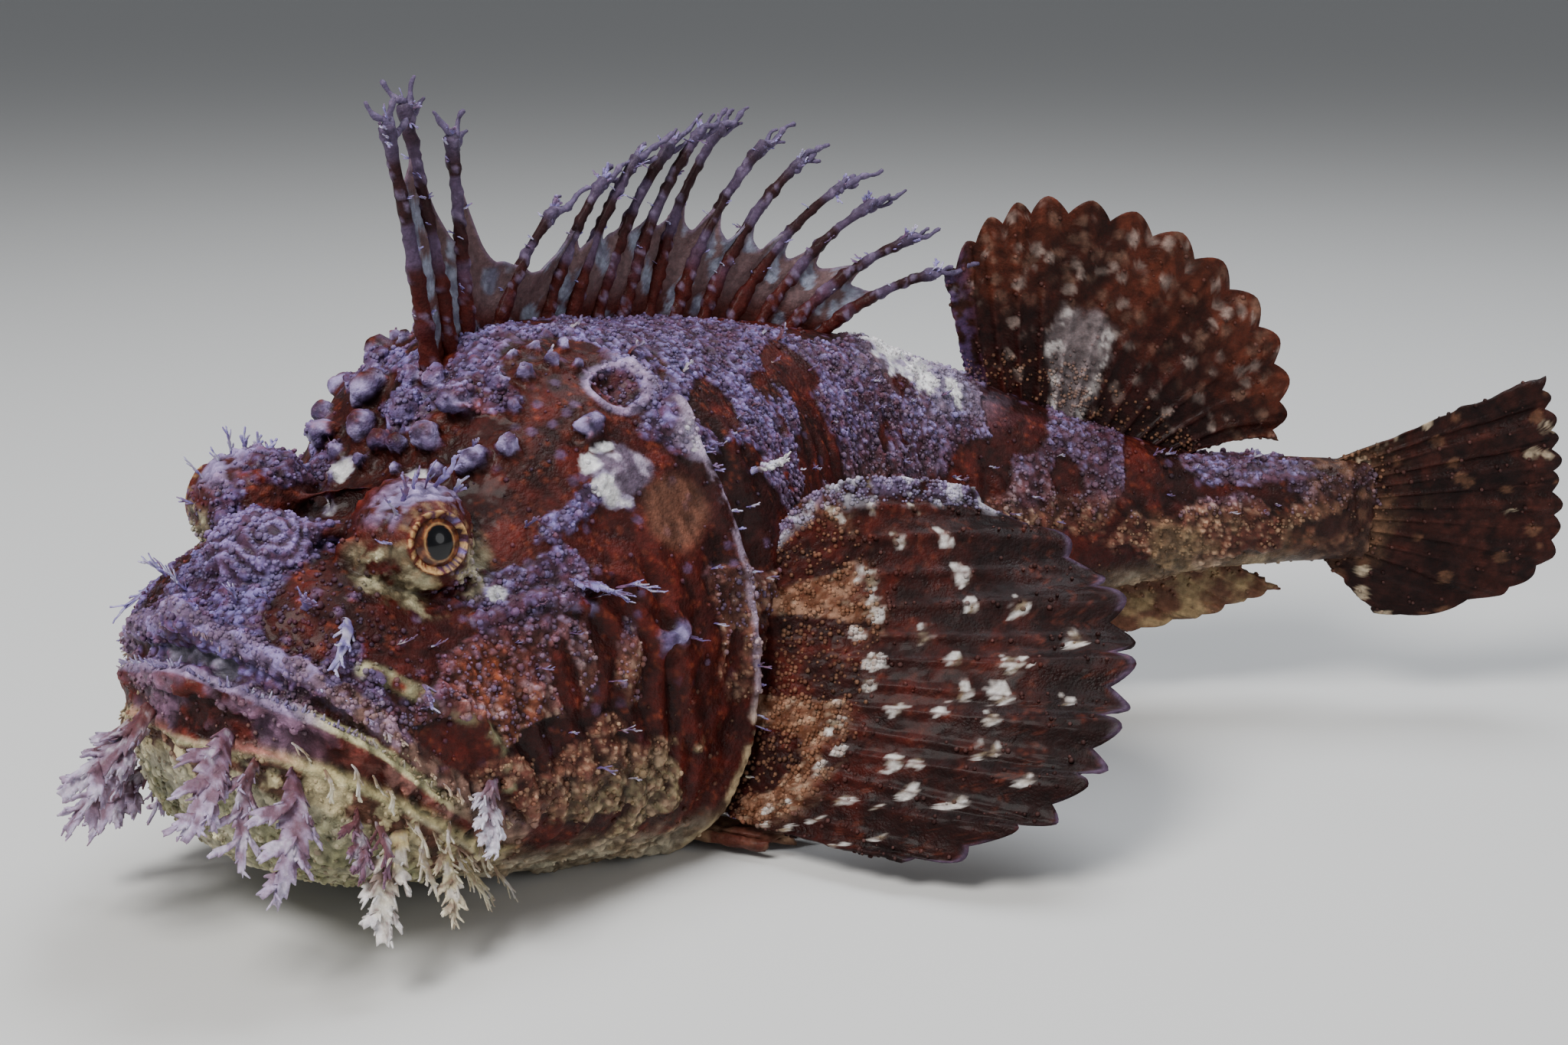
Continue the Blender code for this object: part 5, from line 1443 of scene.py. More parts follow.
# Tabs under the chin: s, z, length, width, swing forwards, tint at the root and at the tip, branches
CHIN_TABS = [
    (-0.0010, 0.055, 0.027, 0.016, -1.75, PINK, PALE, 26),
    (0.0014, 0.051, 0.026, 0.0085, -1.00, RUSTY, PALE, 18),
    (0.0045, 0.048, 0.029, 0.016, -0.85, PINK, PALE, 30),
    (0.0110, 0.040, 0.015, 0.007, -0.50, RUSTY, PINK, 12),
    (0.0150, 0.037, 0.013, 0.006, -0.50, RUSTY, PINK, 9),
    (0.0180, 0.034, 0.025, 0.016, -0.80, BUTTER, srgb(240, 234, 232), 30),
    (0.0240, 0.030, 0.012, 0.006, -0.40, THROAT, CREAM, 8),
    (0.0295, 0.028, 0.018, 0.008, -0.60, BUTTER, srgb(236, 224, 196), 16),
    (0.0350, 0.023, 0.013, 0.006, 0.10, BUTTER, CREAM, 10),
    (0.0430, 0.016, 0.010, 0.005, 0.20, BUTTER, CREAM, 9),
    (0.0510, 0.013, 0.009, 0.005, 0.30, THROAT, CREAM, 8),
]
# The long tab at the end of the upper jaw, the one over the lip, and those on brows, cheeks and flank:
# s, degrees, length, width, way, tint at the root and at the tip, branches
NAMED_TABS = [
    (0.0370, 2, 0.016, 0.012, (-0.6, 0.5, -1.0), PINK, srgb(232, 226, 242), 26),
    (0.0180, 52, 0.013, 0.006, (-0.85, 0.62, -0.45), LILAC, PALE_LILAC, 8),
    (0.0300, 60, 0.010, 0.004, (-0.6, 0.6, -0.8), srgb(150, 140, 120), CREAM, 4),
    (0.0240, 27, 0.007, 0.004, (-0.2, 0.9, -0.5), RED, PALE_LILAC, 6),
    (0.0650, 32, 0.010, 0.007, (0.4, 0.9, -0.1), LILAC, PALE_LILAC, 10),
    (0.0700, 27, 0.008, 0.006, (0.5, 0.9, -0.2), LILAC, PALE_LILAC, 8),
    (0.0760, 24, 0.008, 0.006, (0.5, 0.9, 0.1), LILAC, PALE_LILAC, 8),
    (0.0910, 12, 0.006, 0.004, (0.6, 0.8, -0.1), RED, LILAC, 5),
    (0.1310, 33, 0.010, 0.008, (0.6, 0.8, 0.5), PALE_LILAC, WHITE, 12),
    (0.0060, 78, 0.008, 0.005, (-0.5, 0.2, 0.9), LILAC, PALE_LILAC, 8),
    (0.0120, 60, 0.008, 0.005, (-0.4, 0.6, 0.7), LILAC, PALE_LILAC, 8),
    (0.0090, 70, 0.006, 0.004, (-0.6, 0.3, 0.8), LILAC, PALE_LILAC, 6),
]


def add_mouth_tabs(add, draw, mirror):
    """Tabs of one side under the chin, along the lower lip and along the upper lip."""
    for s, z, length, width, swing, low, high, branches in CHIN_TABS:
        root = np.array([s, side(max(s, 0.0), z) - 0.0012, z]) * mirror
        way = np.array([swing + draw.uniform(-0.1, 0.1), 0.50, -1.05]) * mirror
        if mirror[1] < 0:
            low, high = RUSTY, PALE
        add(root, way, length * 0.92, width, low, high, branches, 0.10)
    for s in np.linspace(0.004, 0.044, 15):
        z = along_edge(s, LOWER_LIP) - 0.0045 - draw.uniform(0, 0.008)
        root = np.array([s, side(s, z) - 0.0006, z]) * mirror
        way = np.array([draw.uniform(-0.6, 0.4), 0.7, -0.8]) * mirror
        add(root, way, draw.uniform(0.003, 0.008), 0.0028, THROAT, CREAM, 4)
    for s in np.linspace(0.000, 0.040, 17):
        z = along_edge(s, UPPER_LIP) + 0.0005 + draw.uniform(0, 0.003)
        root = np.array([s, side(s, z) + 0.0010, z]) * mirror
        low = mix(LILAC, srgb(140, 104, 88), ramp(s, 0.008, 0.020))
        high = mix(PALE_LILAC, srgb(190, 166, 140), ramp(s, 0.008, 0.020))
        add(
            root, np.array([-0.4, 0.9, -0.5]) * mirror, draw.uniform(0.0014, 0.0032), 0.0018, low, high,
            3
        )


def add_body_tabs(add, draw, mirror):
    """Tabs of one side on the head and body, the eye's brow and the gill cover's free edge."""
    for s, deg, length, width, way, low, high, branches in NAMED_TABS:
        add(skin_point(s, deg, -0.0004) * mirror, way * mirror, length, width, low, high, branches)
    # brows: fringes on top of each eye's turret
    top = (EYE - EYE_AXIS * TURRET_BACK) * mirror
    for turn in np.radians(np.arange(40, 173, 22)):
        out = unit(np.array([cos(turn) * 0.75, 0.35 * mirror[1], sin(turn)]))
        way = out + [0.2, 0, 0.2]
        add(top + out * 0.0128, way, draw.uniform(0.004, 0.009), 0.0035, LILAC, PALE_LILAC, 5, 0.05)
    # loose small tabs over the head and body
    for _ in range(75):
        s, deg = draw.uniform(0.02, 0.34), draw.uniform(-10, 80)
        if abs(s - 0.04) < 0.02 and deg > 45:
            continue
        way = (skin_normal(s, deg) + [0.7, 0, 0.1]) * mirror
        size = draw.uniform(0.002, 0.0055)
        low = RED if draw.random() < 0.35 else LILAC
        add(skin_point(s, deg, -0.0002) * mirror, way, size, size * 0.55, low, srgb(122, 106, 148), 4)
    # along the free edge of the gill cover
    for deg in draw.uniform(-62, 44, 16):
        s = float(gill(radians(deg))) - 0.0010
        way = (skin_normal(s, deg) * 0.4 + [1.0, 0, -0.1]) * mirror
        low, size = CREAM if deg < -10 else LILAC, draw.uniform(0.0015, 0.0045)
        add(skin_point(s, deg, 0.0016) * mirror, way, size, 0.0022, low, PALE_LILAC, 3)


def add_papillae(keep, draw):
    """Short papillae along the edges of both lips."""
    for edge, up, last, size, tone in (
        (LOWER_LIP, 0.9, 0.032, 0.0015, srgb(146, 132, 180)),
        (UPPER_LIP, -0.8, 0.024, 0.0011, srgb(132, 108, 124))
    ):
        path = lip_path(edge, -0.0004 if up > 0 else 0.0006, -0.0004)
        near = path[path[:, 0] < last]
        for at in np.linspace(0.3, len(near) - 1.3, 150) + draw.uniform(-0.1, 0.1, 150):
            root = near[int(at)] + (near[int(at) + 1] - near[int(at)]) * (at % 1)
            way = np.array([-0.5, 0.6 * np.tanh(root[1] * 100), up]) + draw.normal(0, 0.3, 3)
            u = np.linspace(0, 1, 4)
            part = tube_part(
                root + way * size * draw.uniform(0.5, 1.3) * u[:, None], 0.00042 * (1 - 0.65 * u), around=5
            )
            here = mix(tone, srgb(176, 160, 128), ramp(root[0], 0.006, 0.016))
            keep(part, np.repeat(mix(here, WHITE, draw.uniform(-0.3, 0.30))[None], len(part[0]), 0), root)


def build_tabs():
    """The branching skin tabs of the chin, lips, brows, cheeks and flanks."""
    draw = np.random.default_rng(SEED + 11)
    chin, lips, body = ([], [], []), ([], [], []), ([], [], [])

    def keep(part, colours, root, large=False):
        group = chin if large else lips if root[0] < 0.046 else body
        for store, item in zip(group, (part, colours, unwrap_place(root[None])[0])):
            store.append(item)

    def add(root, way, length, width, tint, tip_tint, branches, droop=0.25):
        large = width > 0.0065
        if large:
            part, colours = leafy(root, way, length, width, draw, tint, tip_tint)
        else:
            part, colours = tassel(root, way, length, width, draw, tint, tip_tint, branches, droop)
        keep(part, colours, root, large)

    for m in (1, -1):
        mirror = np.array([1.0, m, 1])
        add_mouth_tabs(add, draw, mirror)
        add_body_tabs(add, draw, mirror)
    add_papillae(keep, draw)
    return chin, lips, body


# Fins


GRID_PER_RAY = 10


def fin_object(
    name, at, rays, rows, thick_ray, thick_web, tint, split=0.55, fleshy=0.0, teeth=0.055, ray_width=0.13
):
    """A rayed fin: at(u, t) gives a point for u across the rays and t along them, and tint its colour."""
    cols = (rays - 1) * GRID_PER_RAY + 1
    u, t = np.meshgrid(np.linspace(0, 1, cols), np.linspace(0, 1, rows), indexing="xy")
    beat = u * (rays - 1)
    off = beat - np.round(beat)
    scallop = 1 - teeth * (np.abs(off) * 2) ** 1.6 * ramp(t, 0.3, 1.0)
    ragged = (
        0.030 * (fractal(np.stack([t * 9, np.round(u) * 5, t * 0 + rays], -1), 1.0, 15, 3) - 0.5)
        * np.abs(2 * u - 1) ** 6 * ramp(t, 0.1, 0.4)
    )
    middle = at(u + ragged, t * scallop)
    fork = 0.17 * ramp(t, split, 1.0)
    near_ray = np.minimum(np.abs(off - fork), np.abs(off + fork))
    ridge = np.exp(-((near_ray / ray_width) ** 2))
    joint = 1 + 0.16 * np.sin(t * rows * 0.55) * ramp(t, 0.15, 0.4)
    normal = sheet_normals(middle)
    wave = (fractal(middle, 0.006, 9, 3) - 0.5) * 0.0006 * ramp(t, 0.05, 0.3)
    root = 1 - ramp(t + 0.2 * (fractal(middle, 0.012, 92, 2) - 0.5), 0.24, 0.44)
    web = thick_web + (thick_ray - thick_web) * (ridge * joint * (1 - fleshy * root) + 0.8 * fleshy * root)
    half = 0.5 * web * (1 - 0.45 * t) * (1 - 0.55 * ramp(t, 0.90, 1.0))
    bumps, names = domes(middle, 0.0021, 91)
    half = half + (0.00022 + 0.00034 * fleshy * root) * bumps * (names > 0.45 - 0.3 * fleshy * root)
    obj = make_mesh(name, two_sided(middle, normal, half, wave) + SHIFT, plate_faces(rows, cols))
    colours = tint(u, t, middle, ridge).reshape(-1, 3)
    paint(obj, np.concatenate([colours, colours]))
    dress(obj, fin_material, "fin", name.replace("live_", ""))
    return middle, normal, half, ridge, colours, u, t


def median_points(span, base_height, leans, lengths, root, sway, up=1):
    """Points of a midline fin, bent into the pose."""

    def at(u, t):
        s = span[0] + (span[1] - span[0]) * u
        lean = np.radians(smooth(u, *leans))
        length = smooth(u, *lengths)
        run = -root + (length + root) * t
        share = np.clip(run / length, 0, 1)
        curl = lean + 0.25 * share * np.abs(np.sin(lean))
        wave = sway * np.sin(1.5 * pi * u + 0.5) * share + 0.0012 * np.sin(u * 37) * share**2
        return bend(np.stack([s + run * np.sin(curl), wave, base_height(s) + up * run * np.cos(curl)], -1))

    return at


def tail_points(u, t):
    """Points of the tail fin, bent into the pose."""
    rise = np.radians(smooth(u, [0, 0.1, 0.25, 1], [-46, -25, -13, 24]))
    reach = smooth(u, [0, 0.1, 0.25, 0.6, 1], [0.026, 0.046, 0.063, 0.067, 0.066])
    run = -0.008 + (reach + 0.008) * t
    share = np.clip(run / reach, 0, 1)
    z = 0.0462 + (0.0708 - 0.0462) * u + np.where(run > 0, run * np.sin(rise), run * np.sin(rise) * 0.2)
    x = BODY_LENGTH + np.where(run > 0, run * np.cos(rise), run)
    return bend(np.stack([x, 0.004 * np.sin(2.6 * u) * share + 0.001 * np.sin(u * 41) * share**2, z], -1))


def side_points(base, heading, rise, lengths, root, thick_floor, arch=0.0):
    """Points of a paired fin on the left side, in the pose, with its upper edge arched up by arch."""

    def at(u, t):
        start = base(u)
        foot = bend(start)
        turn = yaw(start[..., 0])
        zero = np.zeros_like(turn)
        back = np.stack([np.cos(turn), np.sin(turn), zero], -1)
        out = np.stack([np.sin(turn), -np.cos(turn), zero], -1)
        azimuth, climb = np.radians(smooth(u, *heading)), np.radians(smooth(u, *rise))
        length = smooth(u, *lengths)
        level = back * np.cos(azimuth)[..., None] + out * np.sin(azimuth)[..., None]
        run = -root + (length + root) * t
        share = np.clip(run / length, 0, 1)
        curve = back * (0.10 * length * share**2)[..., None]
        wave = (
            0.0016 * np.sin(u * 44 + 2 * share) * share**2
            + arch * np.sin(pi * share**0.7) * (1 - ramp(u, 0, 0.35))
        )
        point = (
            foot + level * (run * np.cos(climb))[..., None] + curve
            + np.stack([zero, zero, run * np.sin(climb) + wave], -1)
        )
        point[..., 2] = np.maximum(point[..., 2], thick_floor)
        return point

    return at


def reflect(points):
    """World points of the right side that answer those of the left, across the midline at the gills."""
    axis = bend((GILL_SIDE, 0, 0))
    turn = float(yaw(GILL_SIDE + 0.012))
    along = np.array([cos(turn), sin(turn), 0])
    off = points - axis
    level = off * [1, 1, 0]
    return axis + 2 * (level @ along)[..., None] * along - level + off * [0, 0, 1]


def pectoral_base(u):
    s, z = 0.139 - 0.026 * u, 0.076 - 0.067 * u
    return np.stack([s, side(s, z), z], -1)


def pelvic_base(u):
    s = 0.106 + 0.008 * u
    return np.stack([s, side(s, 0.0045 + 0 * s) - 0.001, 0.0042 + 0 * s], -1)


def pectoral_tint(u, t, points, ridge):
    big, medium, fine = noises(points, (0.018, 401, 4), (0.007, 402, 3), (0.0022, 403, 3))
    beat = u * 14
    ray = np.round(beat)
    colour = mix(
        mix(srgb(46, 13, 10), srgb(80, 24, 16), ramp(medium, 0.40, 0.68)), srgb(28, 8, 7),
        0.80 * ramp(t + 0.5 * (big - 0.5), 0.40, 0.86)
    )
    # the fleshy root: tan grains round bare red-brown patches
    net = 2.6 * (big - 0.5) + 1.2 * (medium - 0.5)
    for cu, ct, ru, rt, share in (
        (0.42, 0.14, 0.15, 0.13, -1.8), (0.80, 0.12, 0.10, 0.10, -1.2), (0.12, 0.16, 0.08, 0.12, -1.0),
        (0.62, 0.20, 0.05, 0.18, 1.1), (0.26, 0.20, 0.05, 0.20, 1.1)
    ):
        near = np.clip(1.5 - np.sqrt(((u - cu) / ru) ** 2 + ((t - ct) / rt) ** 2), 0, 1)
        net = net * (1 - 0.6 * near) + share * near
    root = 1 - ramp(t + 0.25 * (medium - 0.5), 0.28, 0.40)
    tan = mix(srgb(122, 74, 50), srgb(158, 120, 98), ramp(fine, 0.45, 0.62))
    colour = mix(colour, tan, 0.9 * root * ramp(net, -0.05, 0.12))
    grains, names = domes(points, 0.0020, 404)
    colour = mix(
        colour, srgb(206, 178, 152),
        0.6 * root * ramp(grains, 0.5, 0.8) * (names > 0.45) * ramp(net, -0.3, 0.3)
    )
    # rows of ragged pale blots, split in two by each ray
    for arc, centre in enumerate((0.33, 0.47, 0.585, 0.70, 0.85)):
        key = ray.astype(np.int64)
        flat = np.zeros(ray.shape, np.int64)
        jitter = lattice(key, flat + arc, flat, 77)
        size = 0.46 + 0.56 * lattice(key, flat + arc, flat + 3, 79)
        present = lattice(key, flat + arc + 20, flat, 78) > (0.22, 0.25, 0.30, 0.55, 0.70)[arc]
        d = np.sqrt(
            ((t - centre - 0.07 * (jitter - 0.5)) / (0.030 * size)) ** 2
            + ((beat - ray - 0.2 * (jitter - 0.5)) / (0.44 * size)) ** 2
        )
        blot = (
            present * ramp(1.05 - d + 2.8 * (fine - 0.5), 0.05, 0.40)
            * (0.30 + 0.70 * ramp(np.abs(beat - ray), 0.03, 0.12))
        )
        colour = mix(
            colour, mix(srgb(168, 148, 122), srgb(232, 226, 222), ramp(fine, 0.42, 0.62)), 0.92 * blot
        )
        smear = present * ramp(1.7 - d + 1.6 * (medium - 0.5), 0.2, 0.9)
        colour = mix(colour, srgb(104, 66, 56), 0.25 * smear * (1 - blot))
    scales, names = domes(points, 0.0017, 406)
    colour = mix(
        colour, srgb(112, 52, 36),
        0.50 * ramp(scales, 0.35, 0.75) * (names > 0.60) * ramp(medium, 0.36, 0.58)
    )
    colour = mix(
        colour, srgb(124, 104, 142),
        0.85 * (1 - ramp(u + 0.05 * (fine - 0.5), 0.020, 0.060)) * ramp(fine, 0.40, 0.56)
    )
    colour = mix(
        colour, srgb(226, 220, 234),
        0.9 * (1 - ramp(u, 0.03, 0.08)) * ramp(fractal(points, 0.0045, 405, 3), 0.56, 0.64)
    )
    colour = mix(colour, srgb(112, 92, 122), 0.60 * ramp(t, 0.972, 0.995) * ramp(medium, 0.44, 0.6))
    rays = 1 - 0.26 * (1 - ridge) * ramp(t, 0.22, 0.42)
    return colour * rays[..., None] * (0.64 + 0.52 * ramp(fine, 0.34, 0.66))[..., None]


def tail_tint(u, t, points, ridge):
    big, medium, fine = noises(points, (0.014, 411, 3), (0.006, 412, 3), (0.0025, 413, 3))
    colour = mix(srgb(36, 16, 14), srgb(64, 30, 24), ramp(medium, 0.38, 0.66))
    colour = mix(colour, DARK, 0.5 * ramp(big, 0.48, 0.64))
    bumps, names = domes(points, 0.0052, 414)
    patch = ramp(bumps + 0.8 * (fine - 0.5), 0.55, 0.75)
    colour = mix(colour, srgb(190, 172, 146), 0.8 * patch * (names > 0.86) * ramp(fine, 0.36, 0.55))
    colour = mix(colour, srgb(120, 84, 62), 0.5 * patch * (names > 0.60) * (names < 0.86))
    colour = mix(colour, TAN, 0.55 * (1 - ramp(t + 0.4 * (medium - 0.5), 0.18, 0.46)))
    return colour * (0.76 + 0.34 * ridge[..., None]) * (0.64 + 0.56 * ramp(fine, 0.34, 0.66))[..., None]


def second_dorsal_tint(u, t, points, ridge):
    big, medium, fine = noises(points, (0.014, 421, 3), (0.006, 422, 3), (0.0024, 423, 3))
    colour = mix(srgb(56, 19, 15), srgb(88, 41, 27), ramp(t + 0.4 * (medium - 0.5), 0.35, 0.75))
    colour = mix(colour, DARK, 0.60 * ramp(big, 0.48, 0.62))
    bumps, names = domes(points, 0.0044, 424)
    patch = ramp(bumps + 1.5 * (fine - 0.5), 0.35, 0.80) * ramp(medium + 0.4 * t, 0.52, 0.80)
    colour = mix(colour, srgb(146, 128, 120), 0.70 * patch * (names > 0.62))
    colour = mix(colour, srgb(116, 88, 74), 0.60 * patch * (names < 0.62) * ramp(t, 0.3, 0.7))
    off_bar = np.abs(u - 0.43 + 0.10 * (medium - 0.5)) / 0.095
    bar = (1 - ramp(off_bar, 0.75, 1.0)) * (1 - ramp(t + 0.2 * (medium - 0.5), 0.46, 0.56))
    rim = ramp(off_bar, 0.45, 0.70)
    colour = mix(
        colour, mix(srgb(136, 122, 124), srgb(214, 206, 204), rim * ramp(fine, 0.42, 0.56)), 0.92 * bar
    )
    colour = mix(colour, LILAC, 0.45 * (1 - ramp(u, 0.02, 0.10)) * ramp(fine, 0.38, 0.56))
    return colour * (0.66 + 0.46 * ridge[..., None]) * (0.62 + 0.58 * ramp(fine, 0.34, 0.66))[..., None]


def anal_tint(u, t, points, ridge):
    medium, fine = noises(points, (0.006, 432, 3), (0.0025, 433, 3))
    colour = mix(srgb(104, 70, 54), srgb(158, 134, 98), ramp(medium, 0.42, 0.62))
    colour = mix(colour, srgb(104, 62, 44), 0.5 * ramp(fine, 0.5, 0.7))
    return colour * (0.82 + 0.3 * ridge[..., None])


def pelvic_tint(u, t, points, ridge):
    medium, fine = noises(points, (0.006, 442, 3), (0.0020, 443, 3))
    colour = mix(srgb(104, 60, 48), srgb(158, 124, 98), ramp(medium, 0.42, 0.60))
    colour = mix(colour, srgb(74, 32, 26), 0.65 * ramp(fine + 0.4 * (t - 0.5), 0.50, 0.62))
    return colour * (0.80 + 0.3 * ridge[..., None])


def build_fins():
    """The second dorsal, anal, tail and side fins, with warts on all but the pelvic ones."""
    second = median_points(
        (0.250, 0.312), back_height, ([0, 0.5, 1], [-20, 16, 70]),
        ([0, 0.2, 0.5, 0.8, 1], [0.032, 0.053, 0.059, 0.046, 0.026]), 0.005, 0.003
    )
    anal = median_points(
        (0.228, 0.328), belly_height, ([0, 1], [58, 48]), ([0, 0.3, 0.7, 1], [0.009, 0.016, 0.024, 0.016]),
        0.005, 0.002, up=-1
    )
    pectoral = side_points(
        pectoral_base, ([0, 0.35, 1], [30, 62, 94]), ([0, 1], [4, -4]),
        ([0, 0.2, 0.5, 0.8, 1], [0.049, 0.074, 0.084, 0.075, 0.050]), 0.008, 0.0022, 0.009
    )
    pelvic = side_points(
        pelvic_base, ([0, 1], [84, 48]), ([0, 1], [-1, -1]), ([0, 1], [0.022, 0.032]), 0.004, 0.0020
    )
    sheets = []
    for name, at, rays, rows, thick_ray, thick_web, tint, teeth, grains, reach in (
        ("live_second_dorsal_fin", second, 14, 80, 0.0030, 0.0006, second_dorsal_tint, 0.070, 900, 0.30),
        ("live_anal_fin", anal, 13, 40, 0.0024, 0.0007, anal_tint, 0.055, 400, 0.40),
        ("live_tail_fin", tail_points, 13, 80, 0.0030, 0.0007, tail_tint, 0.030, 900, 0.35),
    ):
        sheet = fin_object(name, at, rays, rows, thick_ray, thick_web, tint, teeth=teeth)
        sheets.append((sheet, grains, reach))
    for hand, turned in (("left", lambda f: f), ("right", lambda f: lambda u, t: reflect(f(u, t)))):
        name = "live_pectoral_fin_" + hand
        sheet = fin_object(name, turned(pectoral), 15, 90, 0.0027, 0.0008, pectoral_tint, fleshy=1.0)
        sheets.append((sheet, 3000, 0.36))
        name = "live_pelvic_fin_" + hand
        fin_object(
            name, turned(pelvic), 4, 40, 0.0036, 0.0010, pelvic_tint, split=2.0, teeth=0.35, ray_width=0.26
        )
    build_fin_grains(sheets)


# The first dorsal fin


def spine_rows():
    """Root, lean back in degrees and length of each spine."""
    draw = np.random.default_rng(SEED + 1)
    rows = list(FRONT_SPINES)
    for i in range(REAR_SPINES):
        t = i / (REAR_SPINES - 1)
        lean = smooth(t, [0, 0.2, 0.6, 1], [22, 17, 27, 50]) + draw.uniform(-2.5, 2.5)
        length = smooth(t, [0, 0.3, 0.65, 1], [0.037, 0.053, 0.050, 0.036]) * draw.uniform(0.96, 1.04)
        rows.append((REAR_FROM + (REAR_TO - REAR_FROM) * t, lean, length))
    return rows


def spine_point(row, run, sway):
    """Points of a spine at a distance run from its root."""
    s, lean, length = row
    t = np.clip(np.asarray(run, float) / length, 0, None)
    curl = radians(lean) + (0.22 if lean > 0 else -0.05) * t
    return np.stack([s + run * np.sin(curl), sway * t, back_height(s) + run * np.cos(curl)], -1)


def knotty_bar(path, radii, tone, around=12):
    """A bar with knots on it, and its colours: the tone along it, paler on the knots."""
    points, faces = tube_part(path, radii, around=around)
    normal = vertex_normals(points, faces)
    outward = np.sign((normal * (points - path.mean(0))).sum(1).mean())
    knots, names = domes(points, 0.0024, 97)
    points = points + normal * (0.00055 * knots * (names > 0.3) * outward)[:, None]
    colour = np.concatenate([np.repeat(tone, around, 0), tone[:1], tone[-1:]])
    return (points, faces), mix(colour, srgb(132, 116, 148), 0.60 * ramp(knots, 0.45, 0.85) * (names > 0.6))


def spine_bar(i, path, share, front):
    """The i-th spine, banded red-brown and mauve."""
    radii = (
        (0.0023 if front else 0.0021) * (1 - 0.42 * ramp(share, 0, 0.75) + 0.16 * ramp(share, 0.86, 0.98))
    )
    radii = radii * (1 + 0.22 * (noise(path, 0.0030, i) - 0.5) * 2)
    banding = ramp(np.sin(share * 15 + i * 1.7) + 1.6 * (noise(path, 0.004, 40 + i) - 0.5), -0.1, 0.6)
    tone = mix(srgb(74, 23, 18), srgb(50, 25, 28), ramp(share, 0.2, 0.6))
    tone = mix(tone, srgb(104, 88, 120), 0.60 * banding * ramp(share, 0.12, 0.45))
    return knotty_bar(path, radii, mix(tone, srgb(86, 74, 100), 0.7 * ramp(share, 0.84, 0.97)))


def build_first_dorsal():
    """Knotty fleshy spines with threads and tabs at their tips, and the web between them."""
    rows = spine_rows()
    sways = np.random.default_rng(SEED + 2).uniform(-0.003, 0.003, len(rows))
    draw = np.random.default_rng(SEED + 21)
    build_web(rows, sways)
    bars, tabs = [], []
    for i, (row, sway) in enumerate(zip(rows, sways)):
        length, front = row[2], i < 3
        runs = np.linspace(-0.004, length, 60)
        path = spine_point(row, runs, sway)
        bars.append(spine_bar(i, path, np.clip(runs / length, 0, 1), front))
        root_uv = unwrap_place(np.array([[row[0], 0.0, 0.125]]))[0]
        tip, away = path[-1], unit(path[-1] - path[-5])
        if front:
            reach = [(-0.6, 0.005), (0.7, 0.006), (1.4, 0.006)]
        else:
            reach = [(0.9, draw.uniform(0.006, 0.012)), (0.1, 0.005), (1.7, 0.006)]
        u = np.linspace(0, 1, 12)
        for k, (back, long) in enumerate(reach):
            way = unit(away * (0.9 if k != 2 else 0.2) + np.array([back, draw.normal(0, 0.35), 0.1 * k]))
            thread = (
                tip - away * 0.0015 * k + way * long * u[:, None] + away * 0.35 * long * (u**2)[:, None]
            )
            thread = thread + np.stack([0 * u, 0.0008 * np.sin(5 * u + k), 0.0006 * np.sin(7 * u + i)], -1)
            bars.append(
                knotty_bar(thread, 0.00085 * (1 - 0.55 * u), np.repeat(srgb(98, 86, 116)[None], 12, 0), 8)
            )
        for k in range(4):
            way = away + draw.normal(0, 0.7, 3) + [0.2, 0, 0.2]
            size = draw.uniform(0.0025, 0.0045)
            tab = tassel(tip - away * 0.001 * k, way, size, 0.0026, draw, LILAC, PALE_LILAC, 4, 0.0)
            tabs.append((*tab, root_uv + [0.0, 0.004 * k]))
        for k in range(6):
            at = path[draw.integers(16, 58)]
            way = np.array([draw.choice([-1.0, 1.0]), draw.normal(0, 0.6), 0.5])
            tab = tassel(at, way, draw.uniform(0.0015, 0.0034), 0.0022, draw, LILAC, PALE_LILAC, 3, 0.0)
            tabs.append((*tab, root_uv + [0.004, 0.003 * k]))
    parts, tints = zip(*bars)
    points, faces = joined(parts)
    spines = make_mesh("dorsal_spines", place(points), faces)
    paint(spines, np.concatenate(tints))
    dress(spines, fin_material, "fin")
    coat_object("dorsal_tabs", *zip(*tabs), "fin", tab_material)


def web_grid(rows, sways, levels):
    """The web gap by gap on one grid, and the share of the way across its gap of each column."""
    per_gap, last = 14, len(rows) - 2
    tops = [0.86, 0.88, 0.46, 0.52] + [0.68] * REAR_SPINES
    columns, shares = [], []
    for i, (a, b) in enumerate(zip(rows, rows[1:])):
        high = (tops[i], tops[i + 1]) if i != 2 else (0.86, 0.50)
        for f in np.arange(per_gap + (i == last)) / per_gap:
            dip = 1 - (0.16 if i < 2 else 0.34) * sin(pi * f) ** 0.7
            run_a, run_b = [-0.004 + (h * r[2] * dip + 0.004) * levels for h, r in zip(high, (a, b))]
            column = spine_point(a, run_a, sways[i]) * (1 - f) + spine_point(b, run_b, sways[i + 1]) * f
            column[:, 1] += 0.0016 * sin(pi * f) * np.sin(levels * 5 + i) * levels
            ripple = noise(np.array([[i * 7.0 + f * 5.0, 0, 0]]), 1.0, 3)[0] - 0.5
            column[:, 2] += 0.0016 * ripple * levels**3
            columns.append(column)
            shares.append(f)
    return np.array(columns).transpose(1, 0, 2), np.array(shares)


